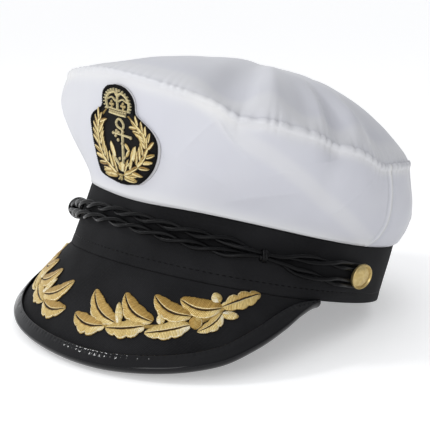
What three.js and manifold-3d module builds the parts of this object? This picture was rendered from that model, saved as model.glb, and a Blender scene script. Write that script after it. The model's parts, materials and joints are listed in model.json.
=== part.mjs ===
// A captain's peaked cap, lying on a table as it does when it is put down: it rests on the
// front of its peak and the back of its band, so it is tipped back a little.
// Front is -Y, the wearer's left is +X and up is +Z. All sizes are in millimetres.
// The cap is first made level, with the bottom of its band in the plane z = 0 and the middle
// of the head opening at the origin. Angles run round the head in degrees from the front,
// positive towards the wearer's left.
import * as THREE from 'three';
import { mergeVertices } from 'three/addons/utils/BufferGeometryUtils.js';
import Module from 'manifold-3d';

const wasm = await Module();
wasm.setup();

// Head band
const headLength = 190;
const headWidth = 186.6;
const bandCloth = 2;
const bandHeight = 36.5;
const bandLean = 7;
const bandPinch = 2.1;

// Crown
const crownReach = 108.5;
const crownHeight = 100;
const crownSwell = 10;
const crownCloth = 1.5;
const domeHeight = 36;
const domeBase = 86;
const puckerDepth = 4;
const foldDepth = 5;
const seamGap = 0.3;

// Peak and its binding
const peakLength = 61;
const peakDroop = 65.7;
const peakSpread = 79;
const peakFan = 1.49;
const peakBoard = 2.5;
const trimWidth = 8;
const trimCloth = 1;

// Cord, knots and buttons
const strandWidth = 2.5;
const strandGap = 0.55;
const knotGap = 0.7;
const buttonAngle = 93;
const buttonWidth = 16;
const buttonThickness = 3;
const shankWidth = 3.2;

// Badge and leaf sprays
const badgeWidth = 58;
const badgeHeight = 54.5;
const badgeRise = 5.5;
const patchCloth = 1.2;
const stitchRise = 1;
const leafRise = 1.3;
const leafGap = 0.5;

// How finely the soft forms are divided
const panelColumns = 28;
const panelRows = 6;
const topColumns = 2 * panelColumns;
const bandColumns = 48;
const peakColumns = 24;
const strandSteps = 50;
const strandSides = 5;
const stemSteps = 6;
const patchColumns = 6;
const knotSides = 12;
const buttonSides = 16;

// Rings of the top panel, from the rim at 0 to the middle at 1
const topShares = [0, 0.09, 0.2, 0.34, 0.52, 0.75, 1];

const white = { color: 0xf1f2f6, roughness: 0.42, metalness: 0 };
const black = { color: 0x17181a, roughness: 0.85, metalness: 0 };
const gloss = { color: 0x0b0b0d, roughness: 0.12, metalness: 0 };
const satin = { color: 0x121214, roughness: 0.4, metalness: 0 };
const gold = { color: 0xc9a24c, roughness: 0.45, metalness: 0.6 };

// The rim seam and the side wall under it. Reach is a share of crownReach and height of
// crownHeight; swell is a share of crownSwell and belly is how far up the wall it is widest;
// fullness says how boldly the top panel rises from the rim.
const crownShape = [
  { angle: -180, reach: 0.93, height: 0.84, swell: 0.75, belly: 0.35, fullness: 2.4 },
  { angle: -135, reach: 0.96, height: 0.88, swell: 0.7, belly: 0.4, fullness: 3.3 },
  { angle: -90, reach: 1.005, height: 0.92, swell: 0.8, belly: 0.6, fullness: 2.5 },
  { angle: -45, reach: 1.06, height: 0.975, swell: 0.98, belly: 0.62, fullness: 1.7 },
  { angle: -10, reach: 1, height: 1.015, swell: 0.1, belly: 0.5, fullness: 2.2 },
  { angle: 20, reach: 1.02, height: 0.97, swell: 0.15, belly: 0.5, fullness: 2.8 },
  { angle: 45, reach: 1.05, height: 0.895, swell: 0.4, belly: 0.6, fullness: 3.3 },
  { angle: 68, reach: 1.03, height: 0.855, swell: 0.4, belly: 0.55, fullness: 3.3 },
  { angle: 90, reach: 0.98, height: 0.8, swell: 0.45, belly: 0.45, fullness: 3 },
  { angle: 115, reach: 0.92, height: 0.83, swell: 0.65, belly: 0.38, fullness: 2.7 },
  { angle: 145, reach: 0.91, height: 0.855, swell: 0.85, belly: 0.33, fullness: 2.5 },
];

// Places where the gathered seam is drawn down and in. Dip and press are shares of
// puckerDepth, and spread is the angle over which each one dies away.
const puckers = [
  { angle: -150, spread: 6, dip: 0.4, press: 0.5 },
  { angle: -112, spread: 6, dip: 0.5, press: 0.5 },
  { angle: -68, spread: 6, dip: 0.4, press: 0.6 },
  { angle: 42, spread: 5, dip: 0.8, press: 0.5 },
  { angle: 69, spread: 4, dip: 0.5, press: 0.7 },
  { angle: 90, spread: 6, dip: 0.5, press: 0.3 },
  { angle: 122, spread: 6, dip: 0.4, press: 0.4 },
  { angle: 165, spread: 7, dip: 0.4, press: 0.4 },
];

// Soft folds that run from the rim up the top panel. Lift is a share of foldDepth, below
// zero for a valley, and run is how far towards the middle the fold goes.
const folds = [
  { angle: -150, spread: 9, lift: -0.6, run: 0.5 },
  { angle: -112, spread: 8, lift: -0.7, run: 0.5 },
  { angle: -68, spread: 9, lift: -0.5, run: 0.5 },
  { angle: 36, spread: 6, lift: -0.9, run: 0.6 },
  { angle: 49, spread: 5, lift: 0.6, run: 0.6 },
  { angle: 61, spread: 5, lift: -0.5, run: 0.55 },
  { angle: 72, spread: 5, lift: -0.7, run: 0.5 },
  { angle: 82, spread: 5, lift: 0.4, run: 0.5 },
  { angle: 122, spread: 8, lift: -0.5, run: 0.5 },
  { angle: 165, spread: 9, lift: -0.6, run: 0.5 },
];

// The band's height, a share of bandHeight.
const bandShape = bothSides([
  { angle: 0, height: 1 },
  { angle: 45, height: 0.96 },
  { angle: 90, height: 0.86 },
  { angle: 135, height: 0.885 },
  { angle: 180, height: 0.9 },
]);

// The peak's length and its slope below the level, shares of peakLength and peakDroop, and
// its binding, a share of trimWidth. Place is a share of peakSpread.
const peakShape = bothSides([
  { place: 0, length: 1, droop: 1, binding: 0.95 },
  { place: 0.28, length: 0.941, droop: 0.95, binding: 0.95 },
  { place: 0.56, length: 0.726, droop: 0.83, binding: 1.05 },
  { place: 0.67, length: 0.541, droop: 0.765, binding: 1.15 },
  { place: 0.785, length: 0.328, droop: 0.7, binding: 1.1 },
  { place: 0.886, length: 0.156, droop: 0.64, binding: 0.7 },
  { place: 1, length: 0.033, droop: 0.57, binding: 0.15 },
], 'place');

// The cord from the right button round the front to the left one. Place is a share of
// buttonAngle and height a share of bandHeight. The four strands are two pairs, one over the
// other, and each pair is twisted: halfTurns counts its half turns. The pairs are parted to
// pass over and under a button's shank, close together in a knot, and flat under a button.
const cordRun = [
  { place: -1, height: 0.44, parted: 1, close: 0, flat: 1, halfTurns: 0.5 },
  { place: -0.957, height: 0.441, parted: 1, close: 0, flat: 1, halfTurns: 0.5 },
  { place: -0.903, height: 0.443, parted: 1, close: 0, flat: 0, halfTurns: 0.5 },
  { place: -0.78, height: 0.46, parted: 0.6, close: 0, flat: 0, halfTurns: 1.25 },
  { place: -0.655, height: 0.48, parted: 0, close: 1, flat: 0, halfTurns: 2 },
  { place: -0.505, height: 0.505, parted: 0, close: 1, flat: 0, halfTurns: 2 },
  { place: -0.42, height: 0.54, parted: 0, close: 0, flat: 0, halfTurns: 2.45 },
  { place: 0, height: 0.655, parted: 0, close: 0, flat: 0, halfTurns: 6.1 },
  { place: 0.387, height: 0.587, parted: 0, close: 0, flat: 0, halfTurns: 9.75 },
  { place: 0.47, height: 0.575, parted: 0, close: 0, flat: 0, halfTurns: 10.5 },
  { place: 0.548, height: 0.56, parted: 0, close: 1, flat: 0, halfTurns: 11 },
  { place: 0.645, height: 0.53, parted: 0, close: 1, flat: 0, halfTurns: 11 },
  { place: 0.72, height: 0.5, parted: 0.4, close: 0, flat: 0, halfTurns: 11.3 },
  { place: 0.85, height: 0.465, parted: 0.9, close: 0, flat: 0, halfTurns: 12.1 },
  { place: 0.903, height: 0.455, parted: 1, close: 0, flat: 0, halfTurns: 12.5 },
  { place: 0.957, height: 0.443, parted: 1, close: 0, flat: 1, halfTurns: 12.5 },
  { place: 1, height: 0.44, parted: 1, close: 0, flat: 1, halfTurns: 12.5 },
];

// The slide knots. Place is a share of buttonAngle, width and length are shares of strandWidth.
const knots = [
  { name: 'cord_knot_left', place: 0.596, width: 4.3, length: 1.8 },
  { name: 'cord_knot_right', place: -0.58, width: 5.6, length: 4 },
];

// An oak leaf from its stalk to its tip, and a plain one. Half is a share of half its width.
const oakLeaf = [
  { along: 0, half: 0.15 },
  { along: 0.26, half: 0.9 },
  { along: 0.44, half: 0.62 },
  { along: 0.66, half: 1 },
  { along: 1, half: 0.12 },
];
const plainLeaf = [
  { along: 0, half: 0.15 },
  { along: 0.45, half: 1 },
  { along: 1, half: 0.12 },
];

// The left leaf spray on the peak. A leaf runs from one place to another, each given by its
// angle, a share of peakSpread, and its reach, a share of the peak's length there. Width is a
// share of peakLength.
const sprayLeaves = [
  { angle: 0.184, reach: 0.6, toAngle: 0.027, toReach: 0.63, width: 0.165, shape: oakLeaf },
  { angle: 0.222, reach: 0.58, toAngle: 0.07, toReach: 0.3, width: 0.18, shape: oakLeaf },
  { angle: 0.232, reach: 0.57, toAngle: 0.199, toReach: 0.34, width: 0.075, shape: plainLeaf },
  { angle: 0.325, reach: 0.55, toAngle: 0.186, toReach: 0.64, width: 0.165, shape: oakLeaf },
  { angle: 0.346, reach: 0.53, toAngle: 0.209, toReach: 0.26, width: 0.165, shape: oakLeaf },
  { angle: 0.375, reach: 0.52, toAngle: 0.367, toReach: 0.41, width: 0.07, shape: plainLeaf },
  { angle: 0.467, reach: 0.51, toAngle: 0.324, toReach: 0.62, width: 0.14, shape: oakLeaf },
  { angle: 0.46, reach: 0.48, toAngle: 0.324, toReach: 0.23, width: 0.165, shape: oakLeaf },
  { angle: 0.5, reach: 0.46, toAngle: 0.48, toReach: 0.39, width: 0.125, shape: plainLeaf },
  { angle: 0.575, reach: 0.3, toAngle: 0.427, toReach: 0.24, width: 0.175, shape: oakLeaf },
  { angle: 0.57, reach: 0.33, toAngle: 0.558, toReach: 0.11, width: 0.09, shape: plainLeaf },
  { angle: 0.577, reach: 0.29, toAngle: 0.738, toReach: 0.04, width: 0.15, shape: oakLeaf },
  { angle: 0.48, reach: 0.5, toAngle: 0.63, toReach: 0.41, width: 0.1, shape: oakLeaf },
];
const sprayStem = [
  { angle: 0.17, reach: 0.6 },
  { angle: 0.3, reach: 0.56 },
  { angle: 0.42, reach: 0.52 },
  { angle: 0.5, reach: 0.47 },
  { angle: 0.56, reach: 0.36 },
  { angle: 0.6, reach: 0.25 },
];

// Half the badge's patch, a share of half badgeWidth, against its height, a share of badgeHeight.
const patchShape = [
  { up: 0, half: 0.12 },
  { up: 0.03, half: 0.42 },
  { up: 0.09, half: 0.68 },
  { up: 0.18, half: 0.88 },
  { up: 0.35, half: 0.99 },
  { up: 0.5, half: 0.98 },
  { up: 0.62, half: 0.88 },
  { up: 0.7, half: 0.7 },
  { up: 0.76, half: 0.54 },
  { up: 0.86, half: 0.5 },
  { up: 0.94, half: 0.42 },
  { up: 0.985, half: 0.26 },
  { up: 1, half: 0.1 },
];

// The middle of the badge's left branch, shares of half badgeWidth and of badgeHeight.
const branch = [
  { across: 0.05, up: 0.08 },
  { across: 0.4, up: 0.12 },
  { across: 0.68, up: 0.26 },
  { across: 0.78, up: 0.43 },
  { across: 0.72, up: 0.56 },
  { across: 0.56, up: 0.65 },
];

// The wreath's leaves: how many pairs each branch has; how far a tip reaches sideways, a
// share of badgeWidth, and how much of that is left in the notches; and how far the tips lead.
const wreathPairs = 8;
const wreathLeaf = { reach: 0.1, notch: 0.35, lead: 0.06 };

// The raised lines of the badge's crown, anchor and tie, straight ones from one place to
// another and arcs round a centre, measured from the top. Places and radii are shares of half
// badgeWidth and of badgeHeight, and thick is a share of badgeWidth.
const crownLines = [
  { x: -0.27, y: 0.735, toX: 0.27, toY: 0.735, thick: 0.065, steps: 4 },
  { x: 0, y: 0.75, radiusX: 0.3, radiusY: 0.17, from: -100, to: 100, thick: 0.035, steps: 8 },
  { x: 0, y: 0.75, toX: 0, toY: 0.95, thick: 0.03, steps: 3 },
  { x: -0.13, y: 0.75, radiusX: 0.1, radiusY: 0.12, from: -90, to: 90, thick: 0.022, steps: 4 },
  { x: 0.13, y: 0.75, radiusX: 0.1, radiusY: 0.12, from: -90, to: 90, thick: 0.022, steps: 4 },
  { x: -0.06, y: 0.945, toX: 0.06, toY: 0.945, thick: 0.04, steps: 1 },
];
const anchorLines = [
  { x: 0, y: 0.18, toX: 0, toY: 0.6, thick: 0.03, steps: 5 },
  { x: 0, y: 0.635, radiusX: 0.055, radiusY: 0.035, from: -180, to: 150, thick: 0.02, steps: 6 },
  { x: -0.24, y: 0.5, toX: 0.24, toY: 0.48, thick: 0.03, steps: 4 },
  { x: 0, y: 0.4, radiusX: 0.28, radiusY: 0.2, from: 125, to: 235, thick: 0.04, steps: 4 },
  { x: -0.07, y: 0.18, toX: 0.07, toY: 0.18, thick: 0.08, steps: 1 },
];
const fluke = { x: 0.2, y: 0.2, toX: 0.36, toY: 0.38, thick: 0.07 };
const wreathTie = { x: -0.1, y: 0.08, toX: 0.1, toY: 0.08, thick: 0.06, steps: 2 };

// The stem of a leaf spray, a share of peakLength
const stemWidth = 0.05;

// Half the outline of a slide knot: out is a share of the way from its bore to its outside,
// and along a share of half its length.
const knotOutline = [
  { out: 0, along: -0.7 },
  { out: 0.5, along: -1 },
  { out: 1, along: -0.5 },
  { out: 1, along: 0.5 },
  { out: 0.5, along: 1 },
  { out: 0, along: 0.7 },
  { out: 0, along: -0.7 },
];

// Half the outline of a button's head: out is a share of its radius and up of its thickness.
const buttonOutline = [
  { out: 0.93, up: 0 },
  { out: 1, up: 0.2 },
  { out: 1, up: 0.5 },
  { out: 0.92, up: 0.67 },
  { out: 0.84, up: 0.53 },
  { out: 0.5, up: 0.87 },
  { out: 0, up: 1 },
];

// Where the badge's raised stitches start and end, out from the crown's cloth
const reliefLow = seamGap + patchCloth + seamGap;
const reliefHigh = reliefLow + stitchRise;

// The two strands of a pair turn round each other at pairRadius. The pairs lie at
// looseSpacing, and at shankSpacing where they pass a button's shank.
const pairRadius = (strandWidth + strandGap) / 2;
const flatStandOff = seamGap + strandWidth / 2;
const roundStandOff = flatStandOff + pairRadius;
const looseSpacing = 2 * pairRadius + strandWidth + strandGap;
const shankSpacing = shankWidth + 2 * (flatStandOff + pairRadius);
const shankLength = flatStandOff + strandWidth / 2 + seamGap;

// A smooth value read from a table's column between its rows. With a turn, the table closes
// on itself after that much.
function smooth(rows, key, column, at, turn = 0) {
  const count = rows.length;
  const knot = (n) => {
    const lap = turn ? Math.floor(n / count) : 0;
    const row = rows[THREE.MathUtils.clamp(n - lap * count, 0, count - 1)];
    return { at: row[key] + lap * turn, value: row[column] };
  };
  const first = rows[0][key];
  const place = turn
    ? first + THREE.MathUtils.euclideanModulo(at - first, turn)
    : THREE.MathUtils.clamp(at, first, rows[count - 1][key]);
  const lastStart = turn ? count - 1 : count - 2;
  let n = 0;
  while (n < lastStart && knot(n + 1).at <= place) n += 1;
  const rate = (a, b) => (b.at === a.at ? 0 : (b.value - a.value) / (b.at - a.at));
  const slope = (m) => (rate(knot(m - 1), knot(m)) + rate(knot(m), knot(m + 1))) / 2;
  const start = knot(n);
  const end = knot(n + 1);
  const width = end.at - start.at;
  const t = (place - start.at) / width;
  const leave = slope(n) * width;
  const arrive = slope(n + 1) * width;
  const change = end.value - start.value;
  const bend = 3 * change - 2 * leave - arrive;
  return start.value + t * (leave + t * (bend + t * (leave + arrive - 2 * change)));
}

// A table written for one side, with its mirrored rows put before it.
function bothSides(rows, key = 'angle') {
  const other = rows.filter((row) => row[key] > 0).map((row) => ({ ...row, [key]: -row[key] }));
  return [...other.reverse(), ...rows];
}

// An angle brought to between -180 and 180 degrees.
function wrapped(angle) {
  return THREE.MathUtils.euclideanModulo(angle + 180, 360) - 180;
}

// How strongly something centred on one angle is felt at another, from 0 to 1.
function nearness(angle, centre, spread) {
  return Math.exp(-((wrapped(angle - centre) / spread) ** 2));
}

function evenSteps(from, to, count) {
  return Array.from({ length: count + 1 }, (_, n) => from + ((to - from) * n) / count);
}

// The band's outer face, from its bottom edge at share 0 to its top edge at share 1.
function bandPoint(angle, share, inset = 0) {
  const turn = THREE.MathUtils.degToRad(angle);
  const halfWidth = headWidth / 2 + bandCloth - inset - bandPinch * share;
  const halfLength = headLength / 2 + bandCloth - inset;
  const height = bandHeight * smooth(bandShape, 'angle', 'height', wrapped(angle));
  return new THREE.Vector3(
    halfWidth * Math.sin(turn),
    bandLean * share - halfLength * Math.cos(turn),
    height * share,
  );
}

// The outer edge of the crown, where the side panels meet the top panel.
function rimPoint(angle) {
  const turn = THREE.MathUtils.degToRad(angle);
  let reach = crownReach * smooth(crownShape, 'angle', 'reach', angle, 360);
  let height = crownHeight * smooth(crownShape, 'angle', 'height', angle, 360);
  for (const pucker of puckers) {
    const felt = puckerDepth * nearness(angle, pucker.angle, pucker.spread);
    reach -= felt * pucker.press;
    height -= felt * pucker.dip;
  }
  return new THREE.Vector3(reach * Math.sin(turn), -reach * Math.cos(turn), height);
}

// The crown's side, from the band's top edge at share 0 to the rim at share 1.
function wallPoint(angle, share) {
  const turn = THREE.MathUtils.degToRad(angle);
  const foot = bandPoint(angle, 1);
  foot.z += seamGap;
  const swell = crownSwell * smooth(crownShape, 'angle', 'swell', angle, 360);
  const belly = smooth(crownShape, 'angle', 'belly', angle, 360);
  const bulge = swell * Math.sin(Math.PI * share ** (Math.log(0.5) / Math.log(belly)));
  const point = foot.lerp(rimPoint(angle), share);
  point.x += bulge * Math.sin(turn);
  point.y -= bulge * Math.cos(turn);
  return point;
}

// The underside of the top panel, from the rim at share 0 to the middle at share 1.
function topPoint(angle, share) {
  const rim = rimPoint(angle);
  const out = 1 - share;
  const fullness = smooth(crownShape, 'angle', 'fullness', angle, 360);
  const height = domeBase + (rim.z - domeBase) * out ** 2 + domeHeight * (1 - out ** fullness);
  let fold = 0;
  for (const row of folds) {
    const along = Math.min(share / row.run, 1);
    const swell = Math.sin(Math.PI * Math.sqrt(along)) ** 2;
    fold += foldDepth * row.lift * swell * nearness(angle, row.angle, row.spread);
  }
  return new THREE.Vector3(rim.x * out, rim.y * out, height + seamGap + fold);
}

// A point of a surface, moved out along the surface's normal.
function raised(surface, angle, share, lift) {
  const point = surface(angle, share);
  const across = surface(angle + 0.5, share).sub(surface(angle - 0.5, share));
  const above = surface(angle, Math.min(share + 0.02, 1));
  const below = surface(angle, Math.max(share - 0.02, 0));
  const isMiddle = across.length() < 0.001;
  const normal = isMiddle ? new THREE.Vector3(0, 0, 1) : across.cross(above.sub(below)).normalize();
  return point.addScaledVector(normal, lift);
}

function peakAt(angle, column) {
  return smooth(peakShape, 'place', column, angle / peakSpread);
}

function peakReach(angle) {
  return peakLength * peakAt(angle, 'length');
}

// The peak's upper face, where a straight line runs out from the band at each angle, and the
// face's normal there.
function peakPoint(angle, distance, lift = 0) {
  const line = (at) => {
    const fan = THREE.MathUtils.degToRad(at * peakFan);
    const droop = THREE.MathUtils.degToRad(peakDroop * peakAt(at, 'droop'));
    const level = Math.cos(droop);
    const way = new THREE.Vector3(Math.sin(fan) * level, -Math.cos(fan) * level, -Math.sin(droop));
    const base = bandPoint(at, 0);
    base.z -= seamGap;
    return { way, point: base.addScaledVector(way, distance) };
  };
  const { way, point } = line(angle);
  const across = line(angle + 0.5).point.sub(line(angle - 0.5).point);
  const normal = way.cross(across).normalize();
  return { point: point.addScaledVector(normal, lift), normal };
}

// A geometry from its corners and triangles, turned if its faces point in.
function facingOut(places, index) {
  const corner = (n) => new THREE.Vector3().fromArray(places, index[n] * 3);
  let volume = 0;
  for (let n = 0; n < index.length; n += 3) {
    volume += corner(n).dot(corner(n + 1).cross(corner(n + 2)));
  }
  const geometry = new THREE.BufferGeometry();
  geometry.setAttribute('position', new THREE.Float32BufferAttribute(places, 3));
  geometry.setIndex(volume < 0 ? [...index].reverse() : index);
  return geometry;
}

// One closed body from two matching grids of points, its front and its back. A wrapped grid
// closes on itself sideways. Triangles that shrink to nothing are left out.
function closedSheet(front, back, wrap = false) {
  const places = [];
  const index = [];
  const found = new Map();
  const vertex = (point) => {
    const key = point.toArray().map((value) => Math.round(value * 1000)).join();
    if (!found.has(key)) {
      found.set(key, places.length / 3);
      places.push(...point.toArray());
    }
    return found.get(key);
  };
  const triangle = (a, b, c) => {
    const ends = [vertex(a), vertex(b), vertex(c)];
    if (new Set(ends).size === 3) index.push(...ends);
  };
  const quad = (a, b, c, d) => {
    triangle(a, b, c);
    triangle(a, c, d);
  };
  const last = front.length - 1;
  const columns = front[0].length;
  const across = wrap ? columns : columns - 1;
  for (let i = 0; i < last; i += 1) {
    for (let j = 0; j < across; j += 1) {
      const k = (j + 1) % columns;
      quad(front[i][j], front[i][k], front[i + 1][k], front[i + 1][j]);
      quad(back[i + 1][k], back[i][k], back[i][j], back[i + 1][j]);
    }
    if (!wrap) {
      quad(front[i][0], front[i + 1][0], back[i + 1][0], back[i][0]);
      quad(front[i][across], back[i][across], back[i + 1][across], front[i + 1][across]);
    }
  }
  for (let j = 0; j < across; j += 1) {
    const k = (j + 1) % columns;
    quad(front[0][j], back[0][j], back[0][k], front[0][k]);
    quad(front[last][j], front[last][k], back[last][k], back[last][j]);
  }
  return facingOut(places, index);
}

// Several overlapping closed pieces joined into one body.
function joined(geometries) {
  const solids = geometries.map((geometry) => {
    const merged = mergeVertices(geometry);
    return new wasm.Manifold(new wasm.Mesh({
      numProp: 3,
      vertProperties: new Float32Array(merged.getAttribute('position').array),
      triVerts: new Uint32Array(merged.index.array),
    }));
  });
  const mesh = solids.reduce((sum, solid) => sum.add(solid)).getMesh();
  return facingOut([...mesh.vertProperties], [...mesh.triVerts]);
}

// The step in a surface's own two coordinates that moves a point sideways from its heading.
function sidestep(place, at, heading, length) {
  const nudge = 0.001;
  const here = place(at.x, at.y, 0);
  const alongX = place(at.x + nudge, at.y, 0).sub(here).divideScalar(nudge);
  const alongY = place(at.x, at.y + nudge, 0).sub(here).divideScalar(nudge);
  const ahead = alongX.clone().multiplyScalar(heading.x).addScaledVector(alongY, heading.y);
  const side = alongX.clone().cross(alongY).cross(ahead).setLength(length);
  const xx = alongX.dot(alongX);
  const xy = alongX.dot(alongY);
  const yy = alongY.dot(alongY);
  const scale = xx * yy - xy * xy;
  return new THREE.Vector2(
    (yy * side.dot(alongX) - xy * side.dot(alongY)) / scale,
    (xx * side.dot(alongY) - xy * side.dot(alongX)) / scale,
  );
}

// An embroidered leaf on a surface.
function leaf(place, from, to, width, shape, low, high) {
  const heading = to.clone().sub(from);
  const edges = shape.map((row) => {
    const at = from.clone().lerp(to, row.along);
    const step = sidestep(place, at, heading, (width / 2) * row.half);
    return [at.clone().add(step), at.clone().sub(step)];
  });
  const grid = (lift) => edges.map((pair) => pair.map((spot) => place(spot.x, spot.y, lift)));
  return closedSheet(grid(high), grid(low));
}

// A strip of stitches along a line on a surface.
function strip(place, line, width, low, high) {
  const edges = line.map((at, n) => {
    const heading = line[Math.min(n + 1, line.length - 1)].clone().sub(line[Math.max(n - 1, 0)]);
    const step = sidestep(place, at, heading, width / 2);
    return [at.clone().add(step), at.clone().sub(step)];
  });
  const grid = (lift) => edges.map((pair) => pair.map((spot) => place(spot.x, spot.y, lift)));
  return closedSheet(grid(high), grid(low));
}

function crownPanel(from, to) {
  const shares = evenSteps(0, 1, panelRows);
  const angles = evenSteps(from, to, panelColumns);
  const row = (share, depth) => angles.map((angle) => raised(wallPoint, angle, share, -depth));
  const grid = (depth) => shares.map((share) => row(share, depth));
  return closedSheet(grid(0), grid(crownCloth));
}

function crownTop() {
  const angles = evenSteps(-180, 180, topColumns).slice(0, -1);
  const row = (share, lift) => angles.map((angle) => raised(topPoint, angle, share, lift));
  const grid = (lift) => topShares.map((share) => row(share, lift));
  return closedSheet(grid(crownCloth), grid(0), true);
}

function band() {
  const angles = evenSteps(-180, 180, bandColumns).slice(0, -1);
  const row = (share, inset) => angles.map((angle) => bandPoint(angle, share, inset));
  const grid = (inset) => [0, 0.5, 1].map((share) => row(share, inset));
  return closedSheet(grid(0), grid(bandCloth), true);
}

// How far the binding lies over the peak from its edge.
function bindingWidth(angle) {
  return Math.max(trimWidth * peakAt(angle, 'binding'), trimCloth + 2 * seamGap);
}

// The peak's board. Its back edge is cut level, to sit under the band.
function peak() {
  const angles = evenSteps(-peakSpread, peakSpread, peakColumns);
  const open = (angle) => peakReach(angle) - bindingWidth(angle);
  const rows = [
    ...[0, 0.25, 0.5, 0.75, 1].map((share) => (angle) => share * open(angle)),
    (angle) => peakReach(angle) - trimCloth - seamGap,
  ];
  const face = (lift) => rows.map((row) => angles.map((angle) => peakPoint(angle, row(angle), lift).point));
  const upper = face(0);
  const lower = face(-peakBoard);
  lower[0] = angles.map((angle) => {
    const { point, normal } = peakPoint(angle, 0);
    normal.z = 0;
    return point.addScaledVector(normal, -peakBoard / normal.lengthSq());
  });
  return closedSheet(upper, lower);
}

// The binding is a strip folded over the peak's edge.
function peakTrim() {
  const angles = evenSteps(-peakSpread, peakSpread, peakColumns);
  const over = seamGap;
  const under = -peakBoard - seamGap;
  const round = 0.8 * trimCloth;
  const path = (spots) => spots.map(([fromEdge, lift]) => angles.map((angle) => {
    const back = fromEdge === 'inner edge' ? bindingWidth(angle) : fromEdge;
    return peakPoint(angle, peakReach(angle) - back, lift).point;
  }));
  const outside = path([
    ['inner edge', over + trimCloth],
    [round, over + trimCloth],
    [0, over + trimCloth - round],
    [0, under - trimCloth + round],
    [round, under - trimCloth],
    ['inner edge', under - trimCloth],
  ]);
  const inside = path([
    ['inner edge', over],
    [trimCloth, over],
    [trimCloth, over],
    [trimCloth, under],
    [trimCloth, under],
    ['inner edge', under],
  ]);
  return closedSheet(outside, inside);
}

// The leaf spray on one side of the peak: 1 is the wearer's left and -1 the right.
function leafSpray(side) {
  const place = (x, y, lift) => {
    const angle = side * x * peakSpread;
    return peakPoint(angle, y * peakReach(angle), lift).point;
  };
  const low = leafGap;
  const high = leafGap + leafRise;
  const leaves = sprayLeaves.map((row) => {
    const stalk = new THREE.Vector2(row.angle, row.reach);
    const tip = new THREE.Vector2(row.toAngle, row.toReach);
    return leaf(place, stalk, tip, row.width * peakLength, row.shape, low, high);
  });
  const places = sprayStem.map((row) => new THREE.Vector2(row.angle, row.reach));
  const route = new THREE.SplineCurve(places);
  const stem = evenSteps(0, 1, stemSteps).map((t) => route.getPoint(t));
  return joined([...leaves, strip(place, stem, stemWidth * peakLength, low, low + leafRise / 2)]);
}

// A place on the badge, in shares of half its width and of its height, on the crown's front.
function badgePlace(x, y, lift) {
  const wallLength = wallPoint(0, 0).distanceTo(wallPoint(0, 1));
  const share = (badgeRise + y * badgeHeight) / wallLength;
  const angle = THREE.MathUtils.radToDeg((x * badgeWidth) / 2 / -wallPoint(0, share).y);
  return raised(wallPoint, angle, share, lift);
}

function badgePatch() {
  const columns = evenSteps(-1, 1, patchColumns);
  const line = (row, lift) => columns.map((x) => badgePlace(x * row.half, row.up, lift));
  const grid = (lift) => patchShape.map((row) => line(row, lift));
  return closedSheet(grid(seamGap + patchCloth), grid(seamGap));
}

// A raised line of stitches on the badge, straight or round an arc.
function badgeLine(line) {
  const spot = (t) => {
    if (!line.radiusX) {
      return new THREE.Vector2(line.x + (line.toX - line.x) * t, line.y + (line.toY - line.y) * t);
    }
    const turn = THREE.MathUtils.degToRad(line.from + (line.to - line.from) * t);
    return new THREE.Vector2(
      line.x + line.radiusX * Math.sin(turn),
      line.y + line.radiusY * Math.cos(turn),
    );
  };
  const route = evenSteps(0, 1, line.steps).map(spot);
  return strip(badgePlace, route, line.thick * badgeWidth, reliefLow, reliefHigh);
}

// A plain crown: two arches with a window in each, over a broad circlet.
function badgeCrown() {
  return joined(crownLines.map(badgeLine));
}

// One leafy branch of the wreath: its edges run out to a leaf's tip, ahead of where the leaf
// leaves the stem, and back in to the next one.
function leafyBranch(side) {
  const places = branch.map((row) => new THREE.Vector2(side * row.across, row.up));
  const curve = new THREE.SplineCurve(places);
  const rows = evenSteps(0, 2 * wreathPairs, 2 * wreathPairs).map((n) => {
    const t = n / (2 * wreathPairs + 1);
    const isTip = n % 2 === 1;
    const at = curve.getPoint(t);
    const spot = curve.getPoint(isTip ? t + wreathLeaf.lead : t);
    const half = wreathLeaf.reach * badgeWidth * (isTip ? 1 : wreathLeaf.notch);
    const step = sidestep(badgePlace, spot, curve.getTangent(t), half);
    return [spot.clone().add(step), at, spot.clone().sub(step)];
  });
  const lifted = (row, edge, rib) => row.map((spot, n) => badgePlace(spot.x, spot.y, n === 1 ? rib : edge));
  const grid = (edge, rib) => rows.map((row) => lifted(row, edge, rib));
  return closedSheet(grid(reliefLow + stitchRise / 2, reliefHigh), grid(reliefLow, reliefLow));
}

// A wreath of two branches tied at the bottom.
function badgeWreath() {
  return joined([leafyBranch(-1), leafyBranch(1), badgeLine(wreathTie)]);
}

// An anchor with its ring, stock and two flukes.
function badgeAnchor() {
  const flukes = [-1, 1].map((side) => {
    const heel = new THREE.Vector2(side * fluke.x, fluke.y);
    const tip = new THREE.Vector2(side * fluke.toX, fluke.toY);
    return leaf(badgePlace, heel, tip, fluke.thick * badgeWidth, plainLeaf, reliefLow, reliefHigh);
  });
  return joined([...flukes, ...anchorLines.map(badgeLine)]);
}

// A point outside the band at a height above its bottom, with the ways out and along there.
function outsideBand(angle, height, standOff) {
  const share = height / bandPoint(angle, 1).z;
  const along = bandPoint(angle + 0.5, share).sub(bandPoint(angle - 0.5, share));
  along.z = 0;
  along.normalize();
  const out = new THREE.Vector3(along.y, -along.x, 0);
  return { point: bandPoint(angle, share).addScaledVector(out, standOff), out, along };
}

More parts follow.
